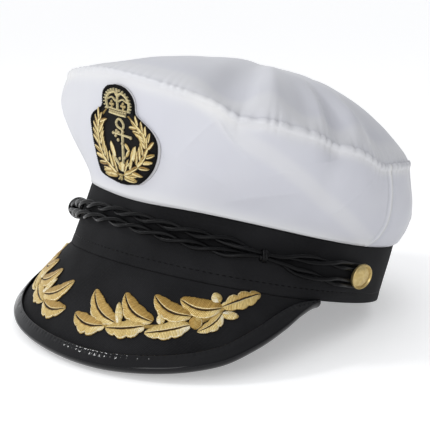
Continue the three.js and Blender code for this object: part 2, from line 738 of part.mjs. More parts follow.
// Where the middle of the cord runs, how far it stands off the band, how far apart its two
// pairs of strands are and how far they have turned.
function cordMiddle(place) {
  const read = (column) => smooth(cordRun, 'place', column, place);
  const share = (column) => THREE.MathUtils.clamp(read(column), 0, 1);
  const away = (knot) => Math.abs(place - knot.place);
  const knot = knots.reduce((a, b) => (away(a) < away(b) ? a : b));
  const inKnot = (knot.width * strandWidth) / 2 + seamGap;
  const outOfKnot = THREE.MathUtils.lerp(roundStandOff, flatStandOff, share('flat'));
  const spacing = THREE.MathUtils.lerp(looseSpacing, shankSpacing, share('parted'));
  return {
    angle: place * buttonAngle,
    height: read('height') * bandHeight,
    standOff: THREE.MathUtils.lerp(outOfKnot, inKnot, share('close')),
    spacing: THREE.MathUtils.lerp(spacing, 2 * pairRadius, share('close')),
    turn: read('halfTurns') * Math.PI,
  };
}

// A tube through rings of points, closed with a fan at each end.
function tube(rings) {
  const sides = rings[0].length;
  const centre = (ring) => {
    const sum = new THREE.Vector3();
    ring.forEach((point) => sum.add(point));
    return sum.divideScalar(sides);
  };
  const points = [...rings.flat(), centre(rings[0]), centre(rings[rings.length - 1])];
  const lastRing = (rings.length - 1) * sides;
  const [startCentre, endCentre] = [rings.length * sides, rings.length * sides + 1];
  const index = [];
  for (let j = 0; j < sides; j += 1) {
    const k = (j + 1) % sides;
    for (let start = 0; start < lastRing; start += sides) {
      index.push(start + j, start + k, start + sides + k);
      index.push(start + j, start + sides + k, start + sides + j);
    }
    index.push(startCentre, k, j);
    index.push(endCentre, lastRing + j, lastRing + k);
  }
  return facingOut(points.flatMap((point) => point.toArray()), index);
}

// One strand of the cord. The upper pair is 1 and the lower -1, and so are a pair's members.
function strand(pair, member) {
  const sections = evenSteps(-1, 1, strandSteps).map((place) => {
    const middle = cordMiddle(place);
    const swing = member * pairRadius;
    const height = middle.height + (pair * middle.spacing) / 2 + swing * Math.sin(middle.turn);
    return outsideBand(middle.angle, height, middle.standOff + swing * Math.cos(middle.turn));
  });
  const rings = sections.map(({ point, out }, n) => {
    const before = sections[Math.max(n - 1, 0)].point;
    const ahead = sections[Math.min(n + 1, strandSteps)].point.clone().sub(before).normalize();
    const square = out.clone().addScaledVector(ahead, -out.dot(ahead)).normalize();
    const up = ahead.cross(square);
    return evenSteps(0, 2 * Math.PI, strandSides).slice(0, -1).map((turn) => point.clone()
      .addScaledVector(square, (strandWidth / 2) * Math.cos(turn))
      .addScaledVector(up, (strandWidth / 2) * Math.sin(turn)));
  });
  return tube(rings);
}

// A slide knot: a ring of wound cord round the four strands.
function knotRing({ width, length }) {
  const bore = pairRadius * Math.SQRT2 + strandWidth / 2 + knotGap;
  const outer = (width * strandWidth) / 2;
  const half = (length * strandWidth) / 2;
  const corner = (row) => new THREE.Vector2(bore + (outer - bore) * row.out, half * row.along);
  return new THREE.LatheGeometry(knotOutline.map(corner), knotSides);
}

// A domed button with a raised rim, on its shank.
function button() {
  const shank = [
    new THREE.Vector2(0, 0),
    new THREE.Vector2(shankWidth / 2, 0),
    new THREE.Vector2(shankWidth / 2, shankLength),
  ];
  const head = buttonOutline.map((row) => new THREE.Vector2(
    (buttonWidth / 2) * row.out,
    shankLength + buttonThickness * row.up,
  ));
  return new THREE.LatheGeometry([...shank, ...head], buttonSides);
}

// How far the level cap tips back before its peak and its band both touch the table.
function restTilt(points) {
  const fall = (point, tilt) => point.z * Math.cos(tilt) - point.y * Math.sin(tilt);
  const lowest = (front, tilt) => points
    .filter((point) => point.y < 0 === front)
    .reduce((low, point) => Math.min(low, fall(point, tilt)), Infinity);
  let less = 0;
  let more = Math.PI / 4;
  for (let step = 0; step < 30; step += 1) {
    const tilt = (less + more) / 2;
    if (lowest(true, tilt) < lowest(false, tilt)) less = tilt;
    else more = tilt;
  }
  return (less + more) / 2;
}

// Every corner of the meshes in a group, in the group's own frame.
function cornersOf(group) {
  const corners = [];
  for (const mesh of group.children) {
    mesh.updateMatrix();
    const position = mesh.geometry.getAttribute('position');
    for (let n = 0; n < position.count; n += 1) {
      corners.push(new THREE.Vector3().fromBufferAttribute(position, n).applyMatrix4(mesh.matrix));
    }
  }
  return corners;
}

const cap = new THREE.Group();

function add(name, geometry, look) {
  const mesh = new THREE.Mesh(geometry, new THREE.MeshStandardMaterial(look));
  mesh.name = name;
  cap.add(mesh);
  return mesh;
}

const sideSeam = THREE.MathUtils.radToDeg(seamGap / 2 / crownReach);
add('crown_front', crownPanel(-90 + sideSeam, 90 - sideSeam), white);
add('crown_back', crownPanel(90 + sideSeam, 270 - sideSeam), white);
add('crown_top', crownTop(), white);
add('band', band(), black);
add('peak', peak(), black);
add('peak_trim', peakTrim(), gloss);
add('leaf_spray_left', leafSpray(1), gold);
add('leaf_spray_right', leafSpray(-1), gold);
add('badge_patch', badgePatch(), black);
add('badge_crown', badgeCrown(), gold);
add('badge_wreath', badgeWreath(), gold);
add('badge_anchor', badgeAnchor(), gold);

[[1, 1], [1, -1], [-1, 1], [-1, -1]].forEach(([pair, member], n) => {
  add(`cord_strand_${n + 1}`, strand(pair, member), satin);
});

for (const knot of knots) {
  const middle = cordMiddle(knot.place);
  const { point, along } = outsideBand(middle.angle, middle.height, middle.standOff);
  const mesh = add(knot.name, knotRing(knot), satin);
  mesh.position.copy(point);
  mesh.quaternion.setFromUnitVectors(new THREE.Vector3(0, 1, 0), along);
}

for (const [name, place] of [['button_left', 1], ['button_right', -1]]) {
  const middle = cordMiddle(place);
  const { point, out } = outsideBand(middle.angle, middle.height, seamGap);
  const mesh = add(name, button(), gold);
  mesh.position.copy(point);
  mesh.quaternion.setFromUnitVectors(new THREE.Vector3(0, 1, 0), out);
}

// The cap tips back until it rests, and the middle of its box comes to the origin.
cap.rotation.x = -restTilt(cornersOf(cap));
const lying = new THREE.Group();
lying.add(cap);
const box = new THREE.Box3().setFromObject(lying, true);
const middle = box.getCenter(new THREE.Vector3());
cap.position.set(-middle.x, -middle.y, -box.min.z);

export default lying;
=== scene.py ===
# %% [markdown]
# # A captain's peaked cap
#
# This lesson dresses the solid model of a captain's cap in satin, twill, vinyl, gold thread
# and brass. The solid model says where everything is and how big it is. Each cell here makes
# one piece or one finish. The cap lies on a table, on the front of its peak and the back of
# its band, so it is tipped back. It is simpler to shape a cap that is level, so every piece is
# first made level, with the bottom of its band in the plane z = 0, and is then laid down.

# %% Load the solid model
import functools
import json
import math

import bmesh
import bpy
from mathutils import Matrix, Vector, noise


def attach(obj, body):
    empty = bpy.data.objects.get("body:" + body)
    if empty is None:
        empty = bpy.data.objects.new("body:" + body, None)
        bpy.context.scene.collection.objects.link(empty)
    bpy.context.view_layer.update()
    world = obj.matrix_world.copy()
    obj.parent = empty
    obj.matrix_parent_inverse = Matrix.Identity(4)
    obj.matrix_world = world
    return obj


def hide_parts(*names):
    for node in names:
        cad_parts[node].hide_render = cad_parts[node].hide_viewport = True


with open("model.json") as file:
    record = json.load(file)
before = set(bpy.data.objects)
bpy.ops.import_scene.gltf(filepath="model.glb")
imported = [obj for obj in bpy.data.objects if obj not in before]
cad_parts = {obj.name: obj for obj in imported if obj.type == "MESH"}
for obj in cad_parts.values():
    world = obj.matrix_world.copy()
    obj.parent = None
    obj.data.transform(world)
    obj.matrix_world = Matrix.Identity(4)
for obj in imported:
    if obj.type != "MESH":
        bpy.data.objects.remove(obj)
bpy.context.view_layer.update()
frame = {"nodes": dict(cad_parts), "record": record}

mm = 0.001
print("solid model:", sorted(frame["nodes"]))

# %% [markdown]
# ## Level and lying
#
# The record holds one flat spot, on the bottom edge of the band at the very back. Its
# direction tells how far the cap is tipped back, and its place tells where the level cap's
# origin went. Both are read from the record, so this script follows if the model is tipped
# differently.

# %% From the level cap to the lying one
head_length = 190 * mm
head_width = 186.6 * mm
band_cloth = 2 * mm

rim_spot = frame["record"]["mounts"][0]
rest_tilt = math.atan2(-rim_spot["axis"][1], -rim_spot["axis"][2])
tip_back = Matrix.Rotation(-rest_tilt, 4, "X")
back_edge = Vector((0, (head_length + band_cloth) / 2, 0))
lies = Matrix.Translation(Vector(rim_spot["pos_m"]) - tip_back @ back_edge) @ tip_back
print("tipped back by", round(math.degrees(rest_tilt), 2), "degrees")

# %% [markdown]
# ## Curves from short tables
#
# A sewn cap is drafted from a few measures taken round the head. The same few rows are kept
# here, and a smooth curve is run through them. Angles go round the head in degrees from the
# front, positive towards the wearer's left.

# %% Read a smooth curve from a table
def curve_through(rows, column, turn=0):
    """The smooth curve through one column of a table, as a function of its first column."""
    key = next(iter(rows[0]))
    count = len(rows)

    def knot(n):
        lap = n // count if turn else 0
        row = rows[min(max(n - lap * count, 0), count - 1)]
        return row[key] + lap * turn, row[column]

    def rate(n):
        (x0, y0), (x1, y1) = knot(n), knot(n + 1)
        return 0 if x0 == x1 else (y1 - y0) / (x1 - x0)

    @functools.lru_cache(maxsize=None)
    def read(at):
        first = rows[0][key]
        at = first + (at - first) % turn if turn else min(max(at, first), rows[-1][key])
        n = 0
        while n < (count - 1 if turn else count - 2) and knot(n + 1)[0] <= at:
            n += 1
        (x0, y0), (x1, y1) = knot(n), knot(n + 1)
        t = (at - x0) / (x1 - x0)
        leave = (rate(n - 1) + rate(n)) / 2 * (x1 - x0)
        arrive = (rate(n) + rate(n + 1)) / 2 * (x1 - x0)
        bend = 3 * (y1 - y0) - 2 * leave - arrive
        return y0 + t * (leave + t * (bend + t * (leave + arrive - 2 * (y1 - y0))))

    return read


def both_sides(rows):
    """A table written for one side, with its mirrored rows put before it."""
    key = next(iter(rows[0]))
    return [{**row, key: -row[key]} for row in reversed(rows) if row[key] > 0] + rows


def nearness(angle, centre, spread):
    """How strongly something at one angle is felt at another, from 0 to 1."""
    away = (angle - centre + 180) % 360 - 180
    return math.exp(-((away / spread) ** 2))


def hump(at, middle, width):
    """A soft hump: 1 at its middle, and almost nothing two widths away."""
    return math.exp(-((at - middle) / width) ** 2)


def blend_in(low, high, at):
    """From 0 to 1 as at goes from low to high, with soft ends."""
    t = min(max((at - low) / (high - low), 0), 1)
    return t * t * (3 - 2 * t)


# %% [markdown]
# ## How a piece is made
#
# Cloth starts as a flat grid, as it does on the cutting table, and every corner of the grid is
# then put where the sewn cloth goes. The grid operator also lays out the piece's UV map, which
# is stretched here to real millimetres, so that a weave has the same scale on every piece.
# Padded forms, such as an embroidered leaf, are the same grid extruded into a closed body.

# %% Spread a sheet of cloth
same_spot = 0.002 * mm


def stretch_chart(faces, chart, size):
    """Stretches a UV map from a unit square to real millimetres."""
    for face in faces:
        for loop in face.loops:
            u, v = loop[chart].uv
            loop[chart].uv = (u * size[0] / mm, v * size[1] / mm)


def spread_cloth(columns, rows, place, size=(1, 1), joined=False, marks=None):
    """A sheet whose corners go to place(across, up), both from 0 to 1."""
    form = bmesh.new()
    chart = form.loops.layers.uv.new("cloth")
    bmesh.ops.create_grid(form, x_segments=columns, y_segments=rows, size=0.5, calc_uvs=True)
    layers = [(form.verts.layers.float.new(mark), rule) for mark, rule in (marks or {}).items()]
    for corner in form.verts:
        across, up = corner.co.x + 0.5, corner.co.y + 0.5
        for layer, rule in layers:
            corner[layer] = rule(across, up)
        corner.co = place(across, up)
    stretch_chart(form.faces, chart, size)
    if joined:
        bmesh.ops.remove_doubles(form, verts=form.verts[:], dist=same_spot)
    return form


# %% Add a closed pad
middle_tone = 0.5


def add_pad(form, columns, rows, place, size=(1, 1), tone=None):
    """Adds a closed pad to a form: place(across, up, 1) is its top and place(across, up, 0)
    its underside. Tone says how dark or pale the thread is."""
    chart = form.loops.layers.uv.verify()
    shade = form.verts.layers.float.get("tone") or form.verts.layers.float.new("tone")
    made = bmesh.ops.create_grid(form, x_segments=columns, y_segments=rows, size=0.5, calc_uvs=True)
    bottom = made["verts"]
    faces = list({face for corner in bottom for face in corner.link_faces})
    stretch_chart(faces, chart, size)
    raised = bmesh.ops.extrude_face_region(form, geom=faces, use_keep_orig=True)["geom"]
    top = [item for item in raised if isinstance(item, bmesh.types.BMVert)]
    for side, corners in ((0, bottom), (1, top)):
        for corner in corners:
            across, up = corner.co.x + 0.5, corner.co.y + 0.5
            corner[shade] = tone(across, up) if tone else middle_tone
            corner.co = place(across, up, side)


# %% Make a form a piece of the scene
def finish_piece(name, form, material, replaced=(), wall=0, recalculate=False):
    """Lays a form down where the cap lies, and makes it a piece of the scene."""
    if recalculate:
        bmesh.ops.recalc_face_normals(form, faces=form.faces[:])
    bmesh.ops.transform(form, matrix=lies, verts=form.verts[:])
    mesh = bpy.data.meshes.new(name)
    form.to_mesh(mesh)
    form.free()
    mesh.polygons.foreach_set("use_smooth", [True] * len(mesh.polygons))
    mesh.materials.append(material)
    piece = bpy.data.objects.new(name, mesh)
    bpy.context.scene.collection.objects.link(piece)
    if wall:
        thick = piece.modifiers.new("cloth thickness", "SOLIDIFY")
        thick.thickness = wall
        thick.offset = -1
    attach(piece, "root")
    if replaced:
        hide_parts(*replaced)
    lowest = min(corner.co.z for corner in mesh.vertices)
    print(f"{name}: {len(mesh.polygons)} faces, lowest point {lowest / mm:.1f} mm")


# %% [markdown]
# ## Nodes for the finishes
#
# Every finish is a small tree of shader nodes. The helper below writes such a tree in a few
# words: each node is made with its settings, and its inputs are numbers or other nodes. Weave
# and thread patterns read the piece's UV map in millimetres. Wider patterns read Object
# coordinates in metres.

# %% A helper that wires shader nodes
class Finish:
    def __init__(self, name):
        self.material = bpy.data.materials.new(name)
        self.material.use_nodes = True
        self.tree = self.material.node_tree
        self.shader = self.tree.nodes["Principled BSDF"]

    def node(self, kind, inputs=None, **settings):
        made = self.tree.nodes.new("ShaderNode" + kind)
        for key, value in settings.items():
            setattr(made, key, value)
        for key, value in (inputs or {}).items():
            self.feed(made.inputs[key], value)
        return made

    def feed(self, socket, value):
        if isinstance(value, bpy.types.Node):
            value = value.outputs[0]
        if isinstance(value, bpy.types.NodeSocket):
            self.tree.links.new(value, socket)
        else:
            socket.default_value = value

    def set(self, **values):
        for key, value in values.items():
            self.feed(self.shader.inputs[key.replace("_", " ")], value)

    def cloth_map(self, scale=(1, 1, 1), turn=0):
        chart = self.node("UVMap", uv_map="cloth")
        return self.node("Mapping", {0: chart, "Scale": scale, "Rotation": (0, 0, turn)})

    def place_map(self, scale=(1, 1, 1)):
        place = self.node("TexCoord").outputs["Object"]
        return self.node("Mapping", {0: place, "Scale": scale})

    def mark(self, name):
        return self.node("Attribute", attribute_name=name).outputs["Fac"]

    def maths(self, operation, first, second=0.0, clamped=False):
        return self.node("Math", {0: first, 1: second}, operation=operation, use_clamp=clamped)

    def range(self, value, low, high, to_low=0.0, to_high=1.0):
        return self.node("MapRange", {0: value, 1: low, 2: high, 3: to_low, 4: to_high})

    def mixed(self, share, first, second):
        # A mixing node also has sockets for numbers and vectors: 6, 7 and 2 are its colours
        made = self.node("Mix", data_type="RGBA")
        for socket, value in (("Factor", share), (6, first), (7, second)):
            self.feed(made.inputs[socket], value)
        return made.outputs[2]

    def shades(self, value, stops):
        ramp = self.node("ValToRGB", {0: value})
        band = ramp.color_ramp
        while len(band.elements) < len(stops):
            band.elements.new(1)
        for element, (at, colour) in zip(band.elements, stops):
            element.position = at
            element.color = (*colour, 1)
        return ramp

    def bumped(self, height, strength, distance, under=None):
        bump = self.node("Bump", {"Height": height, "Strength": strength, "Distance": distance * mm})
        if under is not None:
            self.feed(bump.inputs["Normal"], under)
        return bump


# %% [markdown]
# ## The crown's satin
#
# The crown is thin white satin, a little bluish and slightly sheer, with a broad soft sheen.
# The sheen lies along the threads, so the shader is anisotropic. A very fine weave, faint
# creases and paler places, where the cloth lies double or a stiffening strip shows through,
# keep it from looking like plaster. Along the rim seam the paler hem is partly a painted
# highlight, standing for the gleam of the gathers. These places are painted on the mesh as a
# mark named lining_and_sheen, because a mark follows the cloth wherever it bends.

# %% White satin
def white_satin():
    finish = Finish("crown satin")
    creases = finish.node("TexNoise", {0: finish.cloth_map((0.03, 0.012, 1), 0.5), "Scale": 1, "Detail": 4})
    clouds = finish.node("TexNoise", {0: finish.place_map((14, 14, 14)), "Scale": 1, "Detail": 2})
    cool = finish.mixed(finish.range(clouds, 0.35, 0.7), (0.545, 0.55, 0.60, 1), (0.585, 0.59, 0.62, 1))
    # Paler where the cloth lies double or over the stiffening strip, and at the rim hem partly a painted
    # highlight
    lined_and_sheen = finish.mixed(finish.mark("lining_and_sheen"), cool, (0.66, 0.66, 0.665, 1))
    threads = finish.node("TexWave", {0: finish.cloth_map(), "Scale": 0.9, "Distortion": 1.5, "Detail": 2},
                          bands_direction="Y")
    weave = finish.bumped(threads, 0.05, 0.1)
    folds = finish.bumped(creases, 0.25, 1.2, weave)
    tangent = finish.node("Tangent", direction_type="UV_MAP", uv_map="cloth")
    finish.set(Base_Color=lined_and_sheen, Roughness=0.4, Anisotropic=0.45, Tangent=tangent, Normal=folds,
               Sheen_Weight=0.15, Sheen_Roughness=0.4, Specular_IOR_Level=0.45)
    return finish.material


crown_satin = white_satin()

# %% [markdown]
# ## Black twill
#
# The band and the peak are covered with matt black twill. Twill shows fine slanting ribs: a
# wave across the UV map, turned by half a right angle, gives them. Its colour is never quite
# black, because loose fibres catch the light, which sheen imitates.

# %% Black twill and the badge's ground
def black_twill(name, rib_scale, depth, dark, light):
    finish = Finish(name)
    ribs = finish.node("TexWave", {0: finish.cloth_map(turn=math.pi / 4), "Scale": rib_scale,
                                   "Distortion": 1.2, "Detail": 2, "Detail Scale": 2})
    lint = finish.node("TexNoise", {0: finish.cloth_map((0.9, 0.9, 1)), "Scale": 1, "Detail": 5})
    wear = finish.node("TexNoise", {0: finish.place_map((22, 22, 22)), "Scale": 1, "Detail": 3})
    cloth = finish.mixed(finish.maths("MULTIPLY", ribs, lint), (*dark, 1), (*light, 1))
    worn = finish.mixed(finish.range(wear, 0.4, 0.75, 0, 0.5), cloth, (*light, 1))
    weave = finish.bumped(ribs, 0.35, depth)
    finish.set(Base_Color=worn, Roughness=0.85, Normal=finish.bumped(lint, 0.2, depth, weave),
               Sheen_Weight=0.02, Sheen_Roughness=0.5, Specular_IOR_Level=0.1)
    return finish.material


twill = black_twill("black twill", 0.45, 0.15, (0.002, 0.002, 0.0024), (0.025, 0.025, 0.027))
badge_ground = black_twill("badge ground", 0.7, 0.2, (0.003, 0.003, 0.003), (0.02, 0.019, 0.019))

# %% [markdown]
# ## The badge's backing
#
# A stiff pale felt lies behind the badge and shows as a narrow rim. Felt has no weave, so its
# fibres are plain noise, in colour and in height.

# %% Pale felt
def pale_backing():
    finish = Finish("badge backing")
    fibres = finish.node("TexNoise", {0: finish.cloth_map((0.8, 0.8, 1)), "Scale": 1, "Detail": 4})
    finish.set(Base_Color=finish.mixed(fibres, (0.40, 0.40, 0.42, 1), (0.62, 0.61, 0.62, 1)), Roughness=0.9,
               Normal=finish.bumped(fibres, 0.3, 0.3), Specular_IOR_Level=0.2)
    return finish.material


backing_felt = pale_backing()

# %% [markdown]
# ## Vinyl, cord and brass
#
# The peak's edge is bound with a strip of glossy black vinyl, the chin cord is round black
# satin cord, and the two buttons are stamped brass. What tells them apart is how sharply they
# mirror the light, so each gets its own roughness, and a little unevenness that breaks it up.

# %% Glossy vinyl
def black_vinyl():
    finish = Finish("black vinyl")
    creases = finish.node("TexNoise", {0: finish.cloth_map((0.35, 0.8, 1)), "Scale": 1, "Detail": 3})
    dirt = finish.node("TexNoise", {0: finish.place_map((90, 90, 90)), "Scale": 1, "Detail": 4})
    finish.set(Base_Color=(0.003, 0.003, 0.004, 1), Roughness=finish.range(dirt, 0.3, 0.8, 0.09, 0.17),
               Normal=finish.bumped(creases, 0.08, 0.3), Specular_IOR_Level=0.24)
    return finish.material


vinyl = black_vinyl()


# %% Satin cord
def satin_cord():
    finish = Finish("black cord")
    fibres = finish.node("TexWave", {0: finish.cloth_map(turn=0.5), "Scale": 0.8, "Distortion": 0.6},
                         bands_direction="X")
    shade = finish.mixed(fibres, (0.002, 0.002, 0.0023, 1), (0.006, 0.006, 0.0066, 1))
    finish.set(Base_Color=shade, Roughness=0.25, Normal=finish.bumped(fibres, 0.25, 0.12),
               Specular_IOR_Level=0.11)
    return finish.material


cord_satin = satin_cord()


# %% Button brass
def button_brass():
    finish = Finish("button brass")
    rub = finish.node("TexNoise", {0: finish.place_map((400, 400, 400)), "Scale": 1, "Detail": 4})
    tone = finish.mixed(finish.range(rub, 0.35, 0.7), (0.47, 0.35, 0.14, 1), (0.64, 0.51, 0.25, 1))
    finish.set(Base_Color=tone, Metallic=0.85, Roughness=finish.range(rub, 0.3, 0.8, 0.28, 0.45),
               Normal=finish.bumped(rub, 0.15, 0.15))
    return finish.material


brass = button_brass()

# %% [markdown]
# ## Gold thread
#
# Embroidery is made of many parallel threads laid side by side. Each padded leaf carries a
# mark named tone: 0 is the dark line between two fields of thread, partly the dark ground and
# partly painted shade in the gap, the middle is old gold and 1 is the pale cord along an edge,
# and also a painted highlight along one side of a leaf's rib. A wave across the UV map gives
# the single threads, in colour as well as in height: the dark it puts between them is painted
# shade in the grooves. The metal in them makes the gloss.

# %% Gold embroidery thread
def gold_thread(name, pitch, stops):
    finish = Finish(name)
    scale = 2 * math.pi / 20 / pitch
    threads = finish.node("TexWave", {0: finish.cloth_map(), "Scale": scale, "Distortion": 1.4,
                                      "Detail": 2, "Detail Scale": 0.8}, bands_direction="X")
    uneven = finish.node("TexNoise", {0: finish.cloth_map((1.5, 0.35, 1)), "Scale": 1, "Detail": 4})
    patchy = finish.maths("MULTIPLY_ADD", uneven, 0.7)
    patchy.inputs[2].default_value = -0.35
    tone = finish.maths("ADD", finish.mark("tone"), patchy, clamped=True)
    colour = finish.shades(tone, stops)
    # The dark between the single threads is painted shade in the grooves between them
    shade_between_threads = finish.mixed(finish.range(threads, 0.0, 0.5, 0.6, 0.0), colour, (0.10, 0.05, 0.01, 1))
    finish.set(Base_Color=shade_between_threads, Metallic=0.3, Roughness=0.42, Specular_IOR_Level=0.35,
               Normal=finish.bumped(threads, 0.6, 0.35))
    return finish.material


leaf_gold = gold_thread("leaf gold thread", 0.8, [
    (0.0, (0.003, 0.002, 0.002)), (0.2, (0.012, 0.007, 0.004)), (0.28, (0.34, 0.195, 0.04)),
    (0.45, (0.50, 0.315, 0.078)), (0.7, (0.80, 0.62, 0.25)), (0.92, (0.98, 0.92, 0.72))])
badge_gold = gold_thread("badge gold thread", 0.6, [
    (0.0, (0.003, 0.002, 0.002)), (0.2, (0.012, 0.007, 0.004)), (0.32, (0.28, 0.155, 0.03)),
    (0.55, (0.60, 0.42, 0.13)), (0.8, (0.92, 0.77, 0.38)), (1.0, (1.0, 0.93, 0.62))])

# %% [markdown]
# ## The head band's line
#
# The band is a ring of stiffened cloth that leans back a little as it rises. Everything else
# hangs on it, so its line comes first: a point of it is found from an angle round the head
# and a share of its height.

# %% Points of the band
band_height = 36.5 * mm
band_lean = 7 * mm
band_pinch = 2.1 * mm
gap = 0.3 * mm

band_share = curve_through([
    dict(angle=-180, height=0.93),
    dict(angle=-135, height=0.9),
    dict(angle=-90, height=0.89),
    dict(angle=-45, height=1.03),
    dict(angle=-12, height=1),
    dict(angle=10, height=0.99),
    dict(angle=45, height=0.96),
    dict(angle=90, height=0.887),
    dict(angle=135, height=0.945),
], "height", turn=360)


def way_out(angle):
    turn = math.radians(angle)
    return Vector((math.sin(turn), -math.cos(turn), 0))


def band_top(angle):
    return band_height * band_share(angle)


def band_point(angle, share, stand_off=0):
    """A point of the band's outer face, from its bottom edge at 0 to its top edge at 1."""
    turn = math.radians(angle)
    half_width = head_width / 2 + band_cloth - band_pinch * share + stand_off
    half_length = head_length / 2 + band_cloth + stand_off
    return Vector((half_width * math.sin(turn), band_lean * share - half_length * math.cos(turn),
                   band_top(angle) * share))


# %% [markdown]
# ## The crown's form
#
# Three pieces of satin make the crown: a front and a back side panel and a round top panel.
# The rim seam, where they meet, is gathered, so it dips and pulls in at some places. The side
# swells out between band and rim, and the top panel rises from the rim like a soft dome with
# folds that run in from the gathers.

# %% Points of the crown
crown_reach = 108.5 * mm
crown_height = 100 * mm
crown_swell = 10 * mm
crown_cloth = 1.5 * mm
dome_height = 36 * mm
dome_base = 86 * mm
pucker_depth = 4 * mm
fold_depth = 5 * mm

crown_rows = [
    dict(angle=-180, reach=0.93, height=0.84, swell=0.75, belly=0.35, fullness=2.4),
    dict(angle=-135, reach=0.96, height=0.88, swell=0.7, belly=0.4, fullness=3.3),
    dict(angle=-90, reach=1.005, height=0.92, swell=0.8, belly=0.6, fullness=2.5),
    dict(angle=-45, reach=1.06, height=0.975, swell=0.98, belly=0.62, fullness=1.7),
    dict(angle=-10, reach=1, height=1.015, swell=0.1, belly=0.5, fullness=2.2),
    dict(angle=20, reach=1.02, height=0.97, swell=0.15, belly=0.5, fullness=2.8),
    dict(angle=45, reach=1.05, height=0.895, swell=0.4, belly=0.6, fullness=3.3),
    dict(angle=68, reach=1.03, height=0.855, swell=0.4, belly=0.55, fullness=3.3),
    dict(angle=90, reach=0.98, height=0.8, swell=0.45, belly=0.45, fullness=3),
    dict(angle=115, reach=0.92, height=0.83, swell=0.65, belly=0.38, fullness=2.7),
    dict(angle=145, reach=0.91, height=0.855, swell=0.85, belly=0.33, fullness=2.5),
]
puckers = [
    dict(angle=-150, spread=6, dip=0.4, press=0.5),
    dict(angle=-112, spread=6, dip=0.5, press=0.5),
    dict(angle=-68, spread=6, dip=0.4, press=0.6),
    dict(angle=42, spread=5, dip=0.8, press=0.5),
    dict(angle=69, spread=4, dip=0.5, press=0.7),
    dict(angle=90, spread=6, dip=0.5, press=0.3),
    dict(angle=122, spread=6, dip=0.4, press=0.4),
    dict(angle=165, spread=7, dip=0.4, press=0.4),
]
top_folds = [
    dict(angle=-150, spread=9, lift=-0.6, run=0.5),
    dict(angle=-112, spread=8, lift=-0.7, run=0.5),
    dict(angle=-68, spread=9, lift=-0.5, run=0.5),
    dict(angle=36, spread=6, lift=-1.15, run=0.6),
    dict(angle=45, spread=2, lift=0.3, run=0.35),
    dict(angle=49, spread=4, lift=0.85, run=0.6),
    dict(angle=60, spread=5, lift=-0.75, run=0.55),
    dict(angle=66, spread=2, lift=0.3, run=0.4),
    dict(angle=72, spread=4, lift=-0.9, run=0.5),
    dict(angle=80, spread=4, lift=0.6, run=0.5),
    dict(angle=122, spread=8, lift=-0.5, run=0.5),
    dict(angle=165, spread=9, lift=-0.6, run=0.5),
]
reach_at, height_at, swell_at, belly_at, fullness_at = (
    curve_through(crown_rows, column, turn=360)
    for column in ("reach", "height", "swell", "belly", "fullness"))


@functools.lru_cache(maxsize=None)
def rim_point(angle):
    reach = crown_reach * reach_at(angle)
    height = crown_height * height_at(angle)
    for pucker in puckers:
        felt = pucker_depth * nearness(angle, pucker["angle"], pucker["spread"])
        reach -= felt * pucker["press"]
        height -= felt * pucker["dip"]
    return way_out(angle) * reach + Vector((0, 0, height))


@functools.lru_cache(maxsize=None)
def wall_foot(angle):
    return band_point(angle, 1) + Vector((0, 0, gap))


def wall_point(angle, share):
    """A point of the crown's side, from the band at 0 to the rim at 1."""
    bulge = crown_swell * swell_at(angle)
    bulge *= math.sin(math.pi * share ** (math.log(0.5) / math.log(belly_at(angle))))
    return wall_foot(angle).lerp(rim_point(angle), share) + way_out(angle) * bulge


def top_point(angle, share):
    """A point of the top panel's underside, from the rim at 0 to the middle at 1."""
    rim = rim_point(angle)
    out = 1 - share
    height = dome_base + (rim.z - dome_base) * out ** 2
    height += dome_height * (1 - out ** fullness_at(angle))
    for fold in top_folds:
        along = math.sin(math.pi * math.sqrt(min(share / fold["run"], 1))) ** 2
        height += fold_depth * fold["lift"] * along * nearness(angle, fold["angle"], fold["spread"])
    return Vector((rim.x * out, rim.y * out, height + gap))


# %% [markdown]
# ## The crown's side panels
#
# The rim seam is sewn through two layers of thin satin, and the thread draws them up into
# small scallops about six millimetres apart, which fade out into the cloth. Slow noise gives
# the side its soft dents, and it is held back under the badge, which lies flat. All of these
# are heights that are added to the smooth side, because so each can be read and set by itself.

# %% Small gathers along the rim seam
scallop_pitch = 6.2 * mm
scallop_depth = 0.85 * mm
quiet_stretches = [dict(angle=31, spread=9, share=0.75), dict(angle=8, spread=14, share=0.4)]


@functools.lru_cache(maxsize=None)
def scallops(angle):
    """The drawn-up seam, from about -1 to 1, uneven as hand-guided sewing is."""
    spot = way_out(angle) * 4.5
    drift = noise.noise(spot * 1.7)
    arc = math.radians(angle) * crown_reach / scallop_pitch
    size = 0.45 + 1.1 * abs(noise.noise(spot * 3.1 + Vector((7, 1, 3))))
    size *= 1 - sum(row["share"] * nearness(angle, row["angle"], row["spread"]) for row in quiet_stretches)
    return size * (1 - 1.7 * abs(math.cos(math.pi * (arc + 0.9 * drift))) ** 5)


# %% Soft dents, and the flat place under the badge
dent_depth = 1.5 * mm
badge_reach = 36 * mm


def soft_dents(angle, share):
    """The crown's own slack, which lies on the slant, as the cloth hangs."""
    turn = math.radians(angle)
    spot = Vector((math.sin(turn) * 2.4, math.cos(turn) * 2.4, share * 1.5 - turn * 0.5))
    fine = spot * 2.3 + Vector((4, 2, 9))
    return noise.noise(spot) + 0.45 * noise.noise(fine)


def under_badge(point):
    """1 where the badge holds the cloth flat, and 0 away from it."""
    if point.y > 0:
        return 0
    return 1 - blend_in(badge_reach * 0.8, badge_reach * 1.25, abs(point.x))


# %% Creases from the parcel, and hollows under the gathers
side_height = 66 * mm
crease_lift = 0.32 * mm
hollow_depth = 2.2 * mm
hollow_run = 16 * mm

